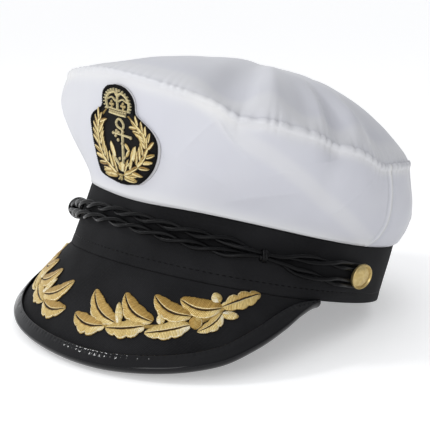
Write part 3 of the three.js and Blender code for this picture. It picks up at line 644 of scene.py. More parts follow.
pressed_creases = [
    dict(start=(24, 0.42), end=(36, 0.88)),
    dict(start=(36, 0.88), end=(47, 0.60)),
    dict(start=(24, 0.42), end=(40, 0.33)),
    dict(start=(52, 0.50), end=(70, 0.86)),
    dict(start=(40, 0.16), end=(62, 0.42)),
    dict(start=(74, 0.30), end=(84, 0.75)),
    dict(start=(-40, 0.3), end=(-62, 0.8)),
    dict(start=(128, 0.3), end=(150, 0.75)),
    dict(start=(-120, 0.35), end=(-146, 0.8)),
]


def side_chart(angle, share):
    """A place on the side in millimetres, along it and up it."""
    return Vector((math.radians(angle) * crown_reach, share * side_height, 0)) / mm


@functools.lru_cache(maxsize=None)
def crease_line(n):
    """Where a crease starts on the side's chart, and how it runs."""
    start, end = side_chart(*pressed_creases[n]["start"]), side_chart(*pressed_creases[n]["end"])
    return start, end - start, (end - start).length_squared


def creases(angle, share):
    """The small ridges that stay where the cap was folded in its parcel."""
    spot = side_chart(angle, share)
    ridge = 0
    for n in range(len(pressed_creases)):
        start, run, squared = crease_line(n)
        along = (spot - start).dot(run) / squared
        if -0.1 < along < 1.1:
            away = (start + run * along - spot).length
            ends = blend_in(-0.1, 0.15, along) * blend_in(1.1, 0.85, along)
            ridge += ends * (hump(away, 0, 0.9) + 0.9 * hump(away, 0, 6))
    return ridge


def pulled_in(angle, from_rim):
    """The hollows that run down from the gathers of the rim seam."""
    pull = 0
    for pucker in puckers:
        spread = pucker["spread"] * (0.7 + from_rim / (18 * mm))
        pull += pucker["press"] * nearness(angle, pucker["angle"] + from_rim / mm * 0.12, spread)
    return pull * math.exp(-from_rim / hollow_run) * blend_in(0, 3 * mm, from_rim)


# %% [markdown]
# ## The lip, the side seams and the foot
#
# Above the rim seam the side's cloth stands up in a lip about two millimetres long, which
# curls inwards over the edge of the top panel. The front and the back panel meet in a sewn
# welt over each ear. At its foot the satin rolls out over the band, most at the front, and
# hangs a little lower beside the badge.

# %% The side's edges and seams
lip_length = 2.0 * mm
lip_reach = 1.0 * mm
lip_rise = 1.4 * mm
gather_fade = 3.2 * mm
gather_rise = 0.5 * mm
welt_height = 0.5 * mm
foot_roll = 1.3 * mm
foot_drop = 2 * mm


def side_seam(share):
    """Where the two side panels meet on each side of the head, in degrees from the front."""
    return 94 + 4 * math.sin(math.pi * min(max(share, 0), 1) ** 0.7)


def lip_shape(from_rim, drawn):
    """How far the lip stands out, and how far it rises."""
    lip = max(0, 1 - from_rim / lip_length)
    out = welt_height * hump(from_rim, 1.4 * mm, 1.5 * mm) - lip_reach * lip ** 2
    return out, lip_rise * math.sin(math.pi / 2 * lip) + gather_rise * drawn


def welt_shape(angle, share):
    """The sewn welt of a side seam, with a shallow groove beside it."""
    away = abs(min(abs(angle), 360 - angle) - side_seam(share))
    away = math.radians(away) * crown_reach
    return welt_height * (hump(away, 0, 0.9 * mm) - hump(away, 2.4 * mm, 1.2 * mm))


def foot_shape(angle, from_foot):
    """How far the cloth rolls out over the band, and how far it hangs down."""
    front = 0.5 + 0.5 * math.cos(math.radians(min(abs(angle), 180)))
    roll = foot_roll * math.exp(-from_foot / (4 * mm)) * front
    return roll, foot_drop * nearness(angle, 8, 18) * math.exp(-from_foot / (3 * mm))


def crown_side(angle, share):
    """A point of the side's outer face, with all its folds and seams."""
    point = wall_point(angle, share)
    free = 1 - under_badge(point)
    from_rim = (1 - share) * side_height
    drawn = scallops(angle) * math.exp(-from_rim / gather_fade)
    held = blend_in(0, 0.12, share) * (1 - 0.5 * blend_in(0.85, 1, share))
    slack = dent_depth * soft_dents(angle, share) + crease_lift * creases(angle, share)
    lip_out, lip_up = lip_shape(from_rim, drawn)
    roll, drop = foot_shape(angle, share * side_height)
    out = slack * held * free + scallop_depth * drawn * (0.3 + 0.7 * free)
    out += lip_out + roll + welt_shape(angle, share) - hollow_depth * pulled_in(angle, from_rim)
    return point + way_out(angle) * out + Vector((0, 0, lip_up - drop))


def side_lining_and_sheen(angle, share):
    """How much paler the cloth is: at its hems and seams, over the slanting strip inside, and along the
    foot of the front panel. At the rim hem the paleness is partly a painted highlight for the gleam of the
    seam.
    """
    turn = min(abs(angle), 360 - abs(angle))
    # The rim hem is made paler partly as a painted highlight, the gleam along the gathered seam
    pale = 0.65 * hump(share, 0.95, 0.06) + hump(turn, side_seam(share), 0.5)
    if turn <= 95:
        middle = 1 - (turn - 30) * 0.0147
        stripe = math.exp(-((share - middle) / 0.1) ** 4) * blend_in(16, 34, turn)
        pale += 0.4 * stripe + 0.8 * hump(share, 0, 0.07)
    return min(1, pale)


# %% The front and the back panel
side_rows = 64
side_columns = 420
for name in ("crown_front", "crown_back"):
    def panel_place(across, up, front=name == "crown_front"):
        share = 1 - (1 - up) ** 1.9
        half = side_seam(share) if front else 180 - side_seam(share)
        return (0 if front else 180) + half * (2 * across - 1), share

    form = spread_cloth(
        side_columns, side_rows,
        lambda across, up: crown_side(*panel_place(across, up)),
        size=(math.pi * crown_reach, side_height),
        marks={"lining_and_sheen": lambda across, up: side_lining_and_sheen(*panel_place(across, up))})
    finish_piece(name + "_satin", form, crown_satin, [name], wall=crown_cloth)

# %% [markdown]
# ## The crown's top panel
#
# The top panel is one round piece. Its grid is wrapped round into a ring and drawn together
# at the middle, where its corners are merged, so no hole is left. At the rim it dives behind
# the rolled edge of the side, and the same scallops run into it.

# %% The domed top
top_rows = 44
top_columns = 800
top_slack = 1.3 * mm
top_gather_fade = 5 * mm
tuck_run = 2.2 * mm
tuck_down = 1.5 * mm
tuck_inwards = 1.3 * mm


def top_panel(angle, share):
    """A point of the top panel's upper face, with its edge tucked under the side's lip."""
    point = top_point(angle, share)
    slope = 1 - share
    from_rim = share * crown_reach
    drawn = scallops(angle) * math.exp(-from_rim / top_gather_fade)
    turn = math.radians(angle)
    spot = Vector((math.sin(turn) * slope * 3, math.cos(turn) * slope * 3, 5))
    slack = noise.noise(spot) + 0.5 * noise.noise(spot * 2.2)
    lift = top_slack * slack * blend_in(0, 0.15, share)
    lift += 0.6 * scallop_depth * drawn
    tucked = math.exp(-from_rim / tuck_run)
    rolled_under = way_out(angle) * ((0.9 * scallop_depth * drawn - tuck_inwards) * tucked)
    return point + rolled_under + Vector((0, 0, lift + crown_cloth - tuck_down * tucked))


def top_lining(share):
    """The hem of the top panel, which lies double and looks paler."""
    return 0.5 * math.exp(-((share - 0.05) / 0.05) ** 4)


form = spread_cloth(
    top_columns, top_rows,
    lambda across, up: top_panel(360 * across - 180, up ** 1.5),
    size=(2 * math.pi * crown_reach, crown_reach), joined=True,
    marks={"lining_and_sheen": lambda across, up: top_lining(up ** 1.5)})
finish_piece("crown_top_satin", form, crown_satin, ["crown_top"], wall=crown_cloth)

# %% [markdown]
# ## The band
#
# A row of topstitching runs round the band a little above its lower edge and holds the turned
# hem. The needle pulls the cloth in, so the line lies in a shallow groove. Each stitch is a
# small bead stretched along the groove. They are many, so each has only a few faces.

# %% The band and its topstitching
stitch_height = 5.5 * mm
stitch_length = 2.6 * mm
stitch_pitch = 3.6 * mm


def band_cloth_point(angle, share):
    height = share * band_top(angle)
    turn = math.radians(angle)
    groove = hump(height, stitch_height, 0.7 * mm)
    waver = noise.noise(Vector((math.sin(turn) * 5, math.cos(turn) * 5, height / mm * 0.04)))
    out = 0.45 * mm * waver - 0.35 * mm * groove
    return band_point(angle, share, out * blend_in(-0.02, 0.1, share) - 0.05 * mm)


def add_stitch(form, centre, along, out, length, width, depth):
    """One stitch: a bead stretched along its thread."""
    side = out.cross(along).normalized()
    turned = Matrix((along.normalized(), side, out)).transposed().to_4x4()
    shape = Matrix.Diagonal((length / 2, width / 2, depth / 2, 1))
    bmesh.ops.create_uvsphere(form, u_segments=6, v_segments=5, radius=1,
                              matrix=Matrix.Translation(centre) @ turned @ shape)


form = spread_cloth(480, 40, lambda across, up: band_cloth_point(360 * across - 180, up),
                    size=(math.pi * (head_length + 4 * mm), band_height), joined=True)
finish_piece("band_twill", form, twill, ["band"], wall=band_cloth - 0.1 * mm)

form = bmesh.new()
stitch_count = round(math.pi * head_length / stitch_pitch)
for n in range(stitch_count):
    angle = 360 * n / stitch_count - 180
    share = stitch_height / band_top(angle)
    along = band_point(angle + 0.5, share) - band_point(angle - 0.5, share)
    add_stitch(form, band_cloth_point(angle, share) + way_out(angle) * 0.1 * mm,
               along, way_out(angle), stitch_length, 0.55 * mm, 0.5 * mm)
finish_piece("band_stitches", form, cord_satin)

# %% [markdown]
# ## The peak
#
# The peak is a board covered with twill. A straight line runs out from the band at each
# angle, dropping steeply at the front and less at the sides, and the lines together make the
# peak's curved face. Its edge line comes from a short table. The cloth and the binding end a
# little short of the solid board at the front, where the real edge is blunter.

# %% Points of the peak
peak_length = 61 * mm
peak_droop = 65.7
peak_spread = 79
peak_fan = 1.49
peak_board = 2.5 * mm
trim_width = 8 * mm
trim_cloth = 1 * mm

peak_rows = both_sides([
    dict(place=0, length=1, droop=1, binding=0.95),
    dict(place=0.28, length=0.941, droop=0.95, binding=0.95),
    dict(place=0.56, length=0.726, droop=0.83, binding=1.05),
    dict(place=0.67, length=0.541, droop=0.765, binding=1.15),
    dict(place=0.785, length=0.328, droop=0.7, binding=1.1),
    dict(place=0.886, length=0.156, droop=0.64, binding=0.7),
    dict(place=1, length=0.033, droop=0.57, binding=0.15),
])
length_at, droop_at, binding_at = (
    curve_through(peak_rows, column) for column in ("length", "droop", "binding"))


@functools.lru_cache(maxsize=None)
def peak_line(angle):
    """Where the peak's line at an angle starts, and which way it runs."""
    fan = math.radians(angle * peak_fan)
    droop = math.radians(peak_droop * droop_at(angle / peak_spread))
    way = Vector((math.sin(fan) * math.cos(droop), -math.cos(fan) * math.cos(droop), -math.sin(droop)))
    return band_point(angle, 0) - Vector((0, 0, gap)), way


def peak_reach(angle):
    return peak_length * length_at(angle / peak_spread)


def edge_reach(angle):
    """The dressed edge, which is blunter in the middle than the board's."""
    return peak_reach(angle) - 3 * mm * nearness(angle, -6, 26)


def peak_point(angle, distance, lift=0):
    """A point over the peak's upper face, and the face's normal there."""
    start, way = peak_line(angle)
    (start_a, way_a), (start_b, way_b) = peak_line(angle + 0.5), peak_line(angle - 0.5)
    across = start_a + way_a * distance - start_b - way_b * distance
    normal = way.cross(across).normalized()
    return start + way * distance + normal * lift, normal


def binding_width(angle):
    return max(trim_width * binding_at(angle / peak_spread), trim_cloth + 2 * gap)


# %% The covered board
def peak_face(across, up, side):
    angle = peak_spread * (2 * across - 1)
    distance = up * (edge_reach(angle) - trim_cloth - gap)
    if side:
        slack = noise.noise(Vector((across * 9, up * 3, 2)))
        slack += 0.5 * noise.noise(Vector((across * 25, up * 8, 6)))
        from_edge = edge_reach(angle) - distance
        under_binding = blend_in(binding_width(angle) + 4 * mm, binding_width(angle), from_edge)
        lift = 0.28 * mm * slack * (1 - under_binding) * blend_in(0, 0.1, up) - 0.1 * mm
        return peak_point(angle, distance, lift)[0]
    point, normal = peak_point(angle, distance)
    level = Vector((normal.x, normal.y, 0))
    cut = level * (-peak_board / level.length_squared) if up < 0.01 else normal * -peak_board
    return point + cut


form = bmesh.new()
form.loops.layers.uv.new("cloth")
add_pad(form, 220, 48, peak_face, size=(200 * mm, peak_length))
finish_piece("peak_twill", form, twill, ["peak"], recalculate=True)

# %% [markdown]
# ## The vinyl binding
#
# A strip of vinyl is folded over the peak's edge and stitched near its inner edge. Vinyl does
# not stretch, so it ripples a little at every stitch, and each ripple catches a glint. The
# path below goes in along the top, round the edge and back along the underside.

# %% The folded binding
trim_pitch = 3.2 * mm
trim_line = 1.4 * mm
edge_round = 1.1 * mm
top_until = 0.4
under_from = 0.7


@functools.lru_cache(maxsize=None)
def edge_length(angle):
    """How far along the peak's edge an angle lies from the middle."""
    steps = max(1, round(abs(angle)))
    places = [peak_point(angle * n / steps, edge_reach(angle * n / steps))[0] for n in range(steps + 1)]
    total = sum((b - a).length for a, b in zip(places, places[1:]))
    return math.copysign(total, angle)


def trim_ripple(angle, from_edge):
    """The small ripples that the stitches draw into the vinyl."""
    along = edge_length(angle) / trim_pitch
    near = hump(binding_width(angle) - from_edge, trim_line, 1.3 * mm)
    uneven = 0.6 + 0.8 * noise.noise(Vector((along * 0.7, 3, 1)))
    slow = noise.noise(Vector((along * 0.35, from_edge / mm * 0.25, 8)))
    return -0.55 * mm * near * uneven * (0.5 + 0.5 * math.cos(2 * math.pi * along)) + 0.1 * mm * slow


def trim_point(across, up):
    """A point of the binding, along the peak's edge and round it from its top to its underside."""
    angle = peak_spread * (2 * across - 1)
    width = binding_width(angle)
    top_lift = gap + trim_cloth
    low_lift = -peak_board - gap - trim_cloth
    middle = (top_lift + low_lift) / 2
    half = (top_lift - low_lift) / 2
    if up < top_until:
        from_edge = width + (edge_round - width) * up / top_until
        lift = top_lift + trim_ripple(angle, from_edge) * blend_in(0, 0.05, up)
        lift -= 0.25 * mm * (1 - blend_in(0, 0.05, up))
        return peak_point(angle, edge_reach(angle) - from_edge, lift)[0]
    if up > under_from:
        from_edge = edge_round + (width - edge_round) * (up - under_from) / (1 - under_from)
        return peak_point(angle, edge_reach(angle) - from_edge, low_lift)[0]
    turn = math.pi * (up - top_until) / (under_from - top_until)
    from_edge = edge_round * (1 - math.sin(turn))
    return peak_point(angle, edge_reach(angle) - from_edge, middle + half * math.cos(turn))[0]


form = spread_cloth(420, 40, trim_point, size=(240 * mm, 22 * mm))
finish_piece("binding_vinyl", form, vinyl, ["peak_trim"], wall=trim_cloth - 0.15 * mm)

# %% The binding's stitches
trim_stitch = 2.3 * mm
trim_thread = 0.5 * mm
stitch_free = 4
angle_step = 0.1


def stitch_line(angle):
    """How far out along the peak the binding's stitches run."""
    return edge_reach(angle) - binding_width(angle) + trim_line


form = bmesh.new()
angle = stitch_free - peak_spread
last = -math.inf
while angle < peak_spread - stitch_free:
    walked = edge_length(round(angle, 1))
    if walked - last > trim_pitch:
        last = walked
        here, out = peak_point(angle, stitch_line(angle))
        ahead = peak_point(angle + 0.3, stitch_line(angle + 0.3))[0]
        add_stitch(form, here + out * (gap + trim_cloth), ahead - here, out,
                   trim_stitch, trim_thread, 0.9 * trim_thread)
    angle += angle_step
finish_piece("binding_stitches", form, cord_satin)

# %% [markdown]
# ## Embroidered forms
#
# All the gold work is made from three forms. A leaf is a pad with a rib pressed into it and a
# pale cord round its edge. A line is a half-round pad along a path. A bead is a small round
# pad. Each lies on a surface through a rule that turns two coordinates and a height into a
# point, so that the same forms serve the peak and the badge.

# %% Steps across a surface
def side_step(surface, at, heading, length):
    """The step in a surface's own coordinates that moves a point sideways from its heading."""
    nudge = 0.001
    here = surface(at.x, at.y, 0)
    along_x = (surface(at.x + nudge, at.y, 0) - here) / nudge
    along_y = (surface(at.x, at.y + nudge, 0) - here) / nudge
    ahead = along_x * heading.x + along_y * heading.y
    side = along_x.cross(along_y).cross(ahead).normalized() * length
    xx, xy, yy = along_x.dot(along_x), along_x.dot(along_y), along_y.dot(along_y)
    scale = xx * yy - xy * xy
    return Vector(((yy * side.dot(along_x) - xy * side.dot(along_y)) / scale,
                   (xx * side.dot(along_y) - xy * side.dot(along_x)) / scale))


def step_table(*pairs):
    """A function that runs straight between the given pairs."""
    def read(at):
        for (x0, y0), (x1, y1) in zip(pairs, pairs[1:]):
            if at <= x1:
                return y0 + (y1 - y0) * (at - x0) / (x1 - x0)
        return pairs[-1][1]
    return read


# %% A padded leaf
# Where the columns of a leaf lie, so that its rib and its edge cord get columns of their own
leaf_columns = 16
leaf_across = step_table(
    (0, -1), (1 / 16, -0.93), (2 / 16, -0.86), (3 / 16, -0.76), (6 / 16, -0.2), (7 / 16, -0.05),
    (9 / 16, 0.05), (10 / 16, 0.11), (11 / 16, 0.19), (14 / 16, 0.82), (15 / 16, 0.93), (1, 1))
rib_width = 0.06
cord_height = 0.14
rib_depth = 0.6


def add_leaf(form, surface, stalk, tip, width, low, rise, lobes=0.0, bend=0.0, rows=22,
             fullness=(1, 1), tones=(0.42, 0.66), cord_and_highlight_tone=0.9, has_rib=True, outline=0.93):
    """An embroidered leaf from its stalk to its tip, both in the surface's coordinates.
    The upper half of a leaf and its lower half may differ in fullness and in tone."""
    heading = tip - stalk
    length = (surface(tip.x, tip.y, 0) - surface(stalk.x, stalk.y, 0)).length
    middles = []
    for n in range(rows + 1):
        t = n / rows
        at = stalk.lerp(tip, t)
        at = at + side_step(surface, at, heading, bend * length * math.sin(math.pi * t))
        middles.append((at, side_step(surface, at, heading, 1 * mm)))

    def half_width(t, side):
        body = math.sin(math.pi * min(max(t, 0.0), 1) ** 0.88) ** 0.55 if 0 < t < 1 else 0
        scallop = abs(math.sin(math.pi * (3.4 * t + (0.1 if side > 0 else 0.55)))) ** 0.55
        depth = lobes * (0.55 if side > 0 else 1)
        full = fullness[0] if side > 0 else fullness[1]
        ragged = 1 + 0.07 * noise.noise(Vector((t * rows * 0.6, math.copysign(4, side), stalk.x * 90)))
        return width / 2 * full * max(body, 0.06) * (1 - depth * (1 - scallop)) * ragged

    def place(across, up, top):
        at, step = middles[min(rows, round(up * rows))]
        s = leaf_across(across)
        edge = s * half_width(up, s) / mm
        spot = at + step * edge
        if not top:
            return surface(spot.x, spot.y, low - 0.05 * mm)
        cushion = math.sqrt(max(0.0, 1 - s * s)) * min(1, 6 * min(up, 1 - up) + 0.25)
        cord = cord_height * hump(s, -0.84, 0.09)
        pressed = rib_depth * hump(s, 0, 0.07) if has_rib else 0
        return surface(spot.x, spot.y, low + rise * max(0.04, cushion * (1 - pressed) + cord))

    # Tone 0 along the outline and in the pressed rib is partly the dark ground between fields of thread and
    # partly painted shade in the gaps and the groove. The pale strip on one side of the rib is a painted
    # highlight; the pale strip near the edge of the other half is the cord.
    def tone(across, up):
        s = leaf_across(across)
        if abs(s) > outline or up < 0.01 or (has_rib and abs(s) < rib_width and up < 0.98):
            return 0.0
        if -0.9 < s < -0.8 or (has_rib and rib_width < s < 0.15):
            return cord_and_highlight_tone
        return tones[0] if s > 0 else tones[1] + 0.2 * blend_in(0.5, 0, up)

    add_pad(form, leaf_columns, rows, place, size=(width, length), tone=tone)


# %% Threads on the slant, lines and beads
def turn_threads(form, slant):
    """Lays the threads on the slant, like the barbs of a feather, on both sides of the rib."""
    chart = form.loops.layers.uv.verify()
    for face in form.faces:
        for loop in face.loops:
            across, along = loop[chart].uv
            loop[chart].uv = (along + slant * abs(across), across)


def smooth_path(points, steps):
    """Evenly many places along a smooth curve through points."""
    rows = [dict(at=n, x=point[0], y=point[1]) for n, point in enumerate(points)]
    x_at, y_at = curve_through(rows, "x"), curve_through(rows, "y")
    last = len(points) - 1
    return [Vector((x_at(last * n / steps), y_at(last * n / steps))) for n in range(steps + 1)]


def add_line(form, surface, path, width, low, rise, tone=0.85, columns=6):
    """A half-round line of thread along a path."""
    rows = len(path) - 1
    steps = []
    for n, at in enumerate(path):
        heading = path[min(n + 1, rows)] - path[max(n - 1, 0)]
        steps.append(side_step(surface, at, heading, width / 2))
    length = sum((b - a).length for a, b in zip(path, path[1:]))

    def place(across, up, top):
        n = min(rows, round(up * rows))
        s = 2 * across - 1
        spot = path[n] + steps[n] * s
        lift = low + rise * max(0.05, math.sqrt(max(0, 1 - s * s))) if top else low - 0.05 * mm
        return surface(spot.x, spot.y, lift)

    add_pad(form, columns, rows, place, size=(width, length), tone=lambda across, up: tone)


def add_bead(form, surface, x, y, radius, low, rise, tone=0.9):
    """A small round knot of thread."""
    shade = form.verts.layers.float.get("tone") or form.verts.layers.float.new("tone")
    centre = surface(x, y, low + rise * 0.4)
    out = (surface(x, y, low + rise) - surface(x, y, low)).normalized()
    side = out.orthogonal().normalized()
    turned = Matrix((side, out.cross(side), out)).transposed().to_4x4()
    shape = Matrix.Diagonal((radius, radius, rise * 0.6, 1))
    made = bmesh.ops.create_uvsphere(form, u_segments=8, v_segments=6, radius=1,
                                     matrix=Matrix.Translation(centre) @ turned @ shape)
    for corner in made["verts"]:
        corner[shade] = tone


# %% [markdown]
# ## The leaf sprays
#
# A spray of oak leaves lies on each side of the peak. A leaf's place is given by the angle, as
# a share of the peak's spread, and the reach, as a share of the peak's length there. The left
# spray is written down, and the right one is its mirror.

# %% Two sprays of oak leaves
leaf_low = 0.15 * mm
leaf_rise = 1.35 * mm
spray_leaves = [
    dict(stalk=(0.184, 0.60), tip=(0.030, 0.56), width=10, lobes=0.3, bend=-0.12,
         full=(1.2, 1.3), tones=(0.42, 0.58)),
    dict(stalk=(0.222, 0.56), tip=(0.070, 0.30), width=10, lobes=0.22, bend=-0.12,
         full=(1.2, 1.2), tones=(0.45, 0.55)),
    dict(stalk=(0.232, 0.57), tip=(0.199, 0.36), width=4.6, lobes=0, bend=0,
         full=(1, 1), tones=(0.7, 0.75)),
    dict(stalk=(0.325, 0.55), tip=(0.186, 0.62), width=9, lobes=0.3, bend=-0.03,
         full=(1.1, 1.4), tones=(0.6, 0.62)),
    dict(stalk=(0.346, 0.50), tip=(0.209, 0.26), width=10, lobes=0.22, bend=-0.13,
         full=(1.2, 1.15), tones=(0.4, 0.52)),
    dict(stalk=(0.375, 0.52), tip=(0.367, 0.41), width=5, lobes=0, bend=0,
         full=(1, 1), tones=(0.72, 0.75)),
    dict(stalk=(0.472, 0.51), tip=(0.327, 0.62), width=8.6, lobes=0.22, bend=-0.03,
         full=(1.15, 1.25), tones=(0.66, 0.68)),
    dict(stalk=(0.475, 0.41), tip=(0.328, 0.23), width=10, lobes=0.14, bend=-0.13,
         full=(1.2, 1.15), tones=(0.4, 0.5)),
    dict(stalk=(0.579, 0.30), tip=(0.425, 0.23), width=10, lobes=0.05, bend=-0.14,
         full=(1.4, 1.05), tones=(0.4, 0.55)),
    dict(stalk=(0.565, 0.24), tip=(0.552, 0.10), width=6, lobes=0, bend=0,
         full=(1, 1), tones=(0.62, 0.75)),
    dict(stalk=(0.575, 0.29), tip=(0.738, 0.03), width=9, lobes=0.42, bend=0.02,
         full=(1.25, 1.1), tones=(0.64, 0.5)),
    dict(stalk=(0.574, 0.38), tip=(0.632, 0.44), width=5, lobes=0, bend=0,
         full=(1, 1), tones=(0.66, 0.75)),
    dict(stalk=(0.578, 0.36), tip=(0.495, 0.59), width=7.6, lobes=0.25, bend=-0.1,
         full=(0.85, 1.15), tones=(0.58, 0.7)),
    dict(stalk=(0.486, 0.41), tip=(0.490, 0.56), width=7.6, lobes=0, bend=0,
         full=(1, 1), tones=(0.44, 0.46)),
]
spray_stem = [(0.17, 0.60), (0.30, 0.56), (0.42, 0.52), (0.50, 0.47), (0.56, 0.36), (0.60, 0.25)]

for name, side in (("leaf_spray_left", 1), ("leaf_spray_right", -1)):
    def on_peak(x, y, lift, side=side):
        angle = side * x * peak_spread
        return peak_point(angle, y * peak_reach(angle), lift)[0]

    form = bmesh.new()
    form.loops.layers.uv.new("cloth")
    add_line(form, on_peak, smooth_path(spray_stem, 30), 2.2 * mm, leaf_low, 0.7 * mm, tone=0.5)
    for n, row in enumerate(spray_leaves):
        is_bud = row["lobes"] == 0
        add_leaf(form, on_peak, Vector(row["stalk"]), Vector(row["tip"]), row["width"] * mm,
                 leaf_low + 0.05 * mm * (n % 4), leaf_rise, row["lobes"], row["bend"],
                 rows=16 if is_bud else 40, fullness=row["full"], tones=row["tones"],
                 has_rib=not is_bud)
    turn_threads(form, 0.55)
    finish_piece(name + "_thread", form, leaf_gold, [name], recalculate=True)

# %% [markdown]
# ## The badge's ground
#
# The badge is a patch of stiffened black cloth with an overlocked edge. Its two coordinates
# are millimetres across and millimetres up from the band, on the front of the crown. It was
# cut and sewn by hand, so its two sides differ, and each has its own column in the table.

# %% The badge's patch
badge_width = 57.6 * mm
badge_height = 53.3 * mm
badge_foot = 6.5 * mm
badge_middle = 2.6
patch_cloth = 1.2 * mm
patch_rows = [
    dict(up=0, left=0.06, right=0.1),
    dict(up=0.03, left=0.42, right=0.41),
    dict(up=0.06, left=0.66, right=0.5),
    dict(up=0.12, left=0.77, right=0.64),
    dict(up=0.22, left=0.84, right=0.8),
    dict(up=0.31, left=0.89, right=0.89),
    dict(up=0.42, left=0.94, right=0.95),
    dict(up=0.52, left=0.97, right=0.95),
    dict(up=0.59, left=0.99, right=0.88),
    dict(up=0.64, left=0.96, right=0.77),
    dict(up=0.69, left=0.84, right=0.6),
    dict(up=0.73, left=0.65, right=0.47),
    dict(up=0.77, left=0.55, right=0.435),
    dict(up=0.85, left=0.53, right=0.43),
    dict(up=0.92, left=0.49, right=0.37),
    dict(up=0.96, left=0.4, right=0.28),
    dict(up=0.985, left=0.28, right=0.19),
    dict(up=1, left=0.1, right=0.06),
]
patch_left, patch_right = curve_through(patch_rows, "left"), curve_through(patch_rows, "right")
front_length = (wall_point(0, 1) - wall_point(0, 0)).length


def on_badge(x, y, lift):
    """A place on the badge: x millimetres across and y up from the band."""
    share = y * mm / front_length
    angle = math.degrees(x * mm / -wall_point(0, min(share, 1)).y)
    point = wall_point(angle, share)
    across = wall_point(angle + 0.5, share) - wall_point(angle - 0.5, share)
    up = wall_point(angle, share + 0.02) - wall_point(angle, share - 0.02)
    return point + across.cross(up).normalized() * lift


def patch_spot(x, y):
    """A place on the patch from shares of its half width and of its height."""
    half = (patch_left(y) if x < 0 else patch_right(y)) * badge_width / 2
    return Vector((badge_middle + x * half / mm, (badge_foot + y * badge_height) / mm))


def patch_face(across, up, top):
    spot = patch_spot(2 * across - 1, up)
    return on_badge(spot.x, spot.y, gap + (patch_cloth if top else 0))


form = bmesh.new()
form.loops.layers.uv.new("cloth")
add_pad(form, 30, 44, patch_face, size=(badge_width, badge_height))
finish_piece("badge_ground", form, badge_ground, ["badge_patch"], recalculate=True)

# %% [markdown]
# ## The badge's edge and backing
#
# An overlocked edge is a close row of stitches that wraps a thick thread round the rim. The
# thread is a line, and the stitches lie across it, each a little longer or shorter than the
# next. The pale backing is the patch again, a little larger and further to one side.

# %% The overlocked edge
edge_steps = 60
edge_inset = 0.985
edge_rise = 0.45
overlock_pitch = 1.05 * mm
overlock_stitch = 2.2 * mm
overlock_width = 0.85 * mm
overlock_depth = 1.5 * mm

round_trip = [(-1, n / edge_steps) for n in range(edge_steps + 1)]
round_trip += [(1, 1 - n / edge_steps) for n in range(edge_steps + 1)]
round_trip.append(round_trip[0])
edge = [patch_spot(x, y) * edge_inset + Vector((0, edge_rise)) for x, y in round_trip]
form = bmesh.new()
form.loops.layers.uv.new("cloth")
add_line(form, on_badge, edge, 1.6 * mm, gap + 0.2 * mm, 1.5 * mm, tone=0.1)
turn_threads(form, 0)
walked = 0.0
for before, here in zip(edge, edge[1:]):
    stretch = (here - before).length * mm
    while walked < stretch:
        spot = before.lerp(here, walked / stretch)
        along = on_badge(here.x, here.y, 0) - on_badge(before.x, before.y, 0)
        centre = on_badge(spot.x, spot.y, gap + patch_cloth)
        out = (on_badge(spot.x, spot.y, 1 * mm) - on_badge(spot.x, spot.y, 0)).normalized()
        across = out.cross(along).normalized()
        length = overlock_stitch + 0.5 * mm * noise.noise(spot.to_3d() * 1.7)
        add_stitch(form, centre, across, out, length, overlock_width, overlock_depth)
        walked += overlock_pitch
    walked -= stretch
finish_piece("badge_edge", form, badge_ground, recalculate=True)


# %% The backing
backing_wider = 1.035
backing_taller = 1.03
backing_shift = 0.8
backing_lift = 0.1 * mm
backing_felt_depth = 0.55 * mm


def backing_face(across, up, top):
    spot = patch_spot((2 * across - 1) * backing_wider, up)
    middle = (badge_foot + badge_height / 2) / mm
    height = middle + (spot.y - middle) * backing_taller
    return on_badge(spot.x + backing_shift, height, backing_lift + (backing_felt_depth if top else 0))


form = bmesh.new()
form.loops.layers.uv.new("cloth")
add_pad(form, 30, 44, backing_face, size=(badge_width, badge_height))
finish_piece("badge_backing", form, backing_felt, recalculate=True)

# %% [markdown]
# ## The badge's gold work
#
# The badge shows the emblems that such caps have always carried: a crown over a laurel wreath
# with a fouled anchor, an anchor with its rope wound round the shank. The two branches are
# built by a loop, as three leaves at each step, and the rest is drawn with lines, leaves and
# beads whose places are written in millimetres.

# %% The laurel wreath
gold_low = gap + patch_cloth
gold_rise = 1.05 * mm
branches = {
    -1: [(1.0, 11.0), (-5.4, 14.4), (-11.8, 18.6), (-15.6, 24.0), (-17.2, 30.0), (-17.2, 35.8),
         (-14.6, 41.0), (-9.0, 46.0)],
    1: [(4.0, 11.2), (12.4, 15.6), (19.0, 21.0), (23.4, 27.6), (23.8, 33.2), (20.8, 37.8),
        (16.0, 41.4), (10.8, 44.6)],
}
branch_steps = 10
fans = {
    -1: [dict(turn=-38, length=11.4), dict(turn=2, length=9.4), dict(turn=38, length=11.4)],
    1: [dict(turn=-38, length=10.2), dict(turn=2, length=9.2), dict(turn=38, length=9.8)],
}
# The outer third of each badge leaf is dark: partly the gap to the ground, partly painted shade
leaf_gap_and_shade_edge = 0.64
branch_run = 33
leaf_girth = {-1: (3.5, 0.04), 1: (3.2, 0.03)}
low_leaves = [((0.4, 11.6), (-14.6, 13.4)), ((0.0, 10.2), (-13.4, 10.2)),
              ((4.2, 11.6), (15.4, 12.4)), ((4.4, 9.9), (14.4, 9.2))]
tie_lines = [[(0.6, 10.9), (2.2, 11.2), (3.6, 10.9)], [(1.9, 10.4), (1.2, 9.4), (0.2, 8.5)],
             [(2.6, 10.3), (2.8, 9.3), (2.4, 8.3)]]

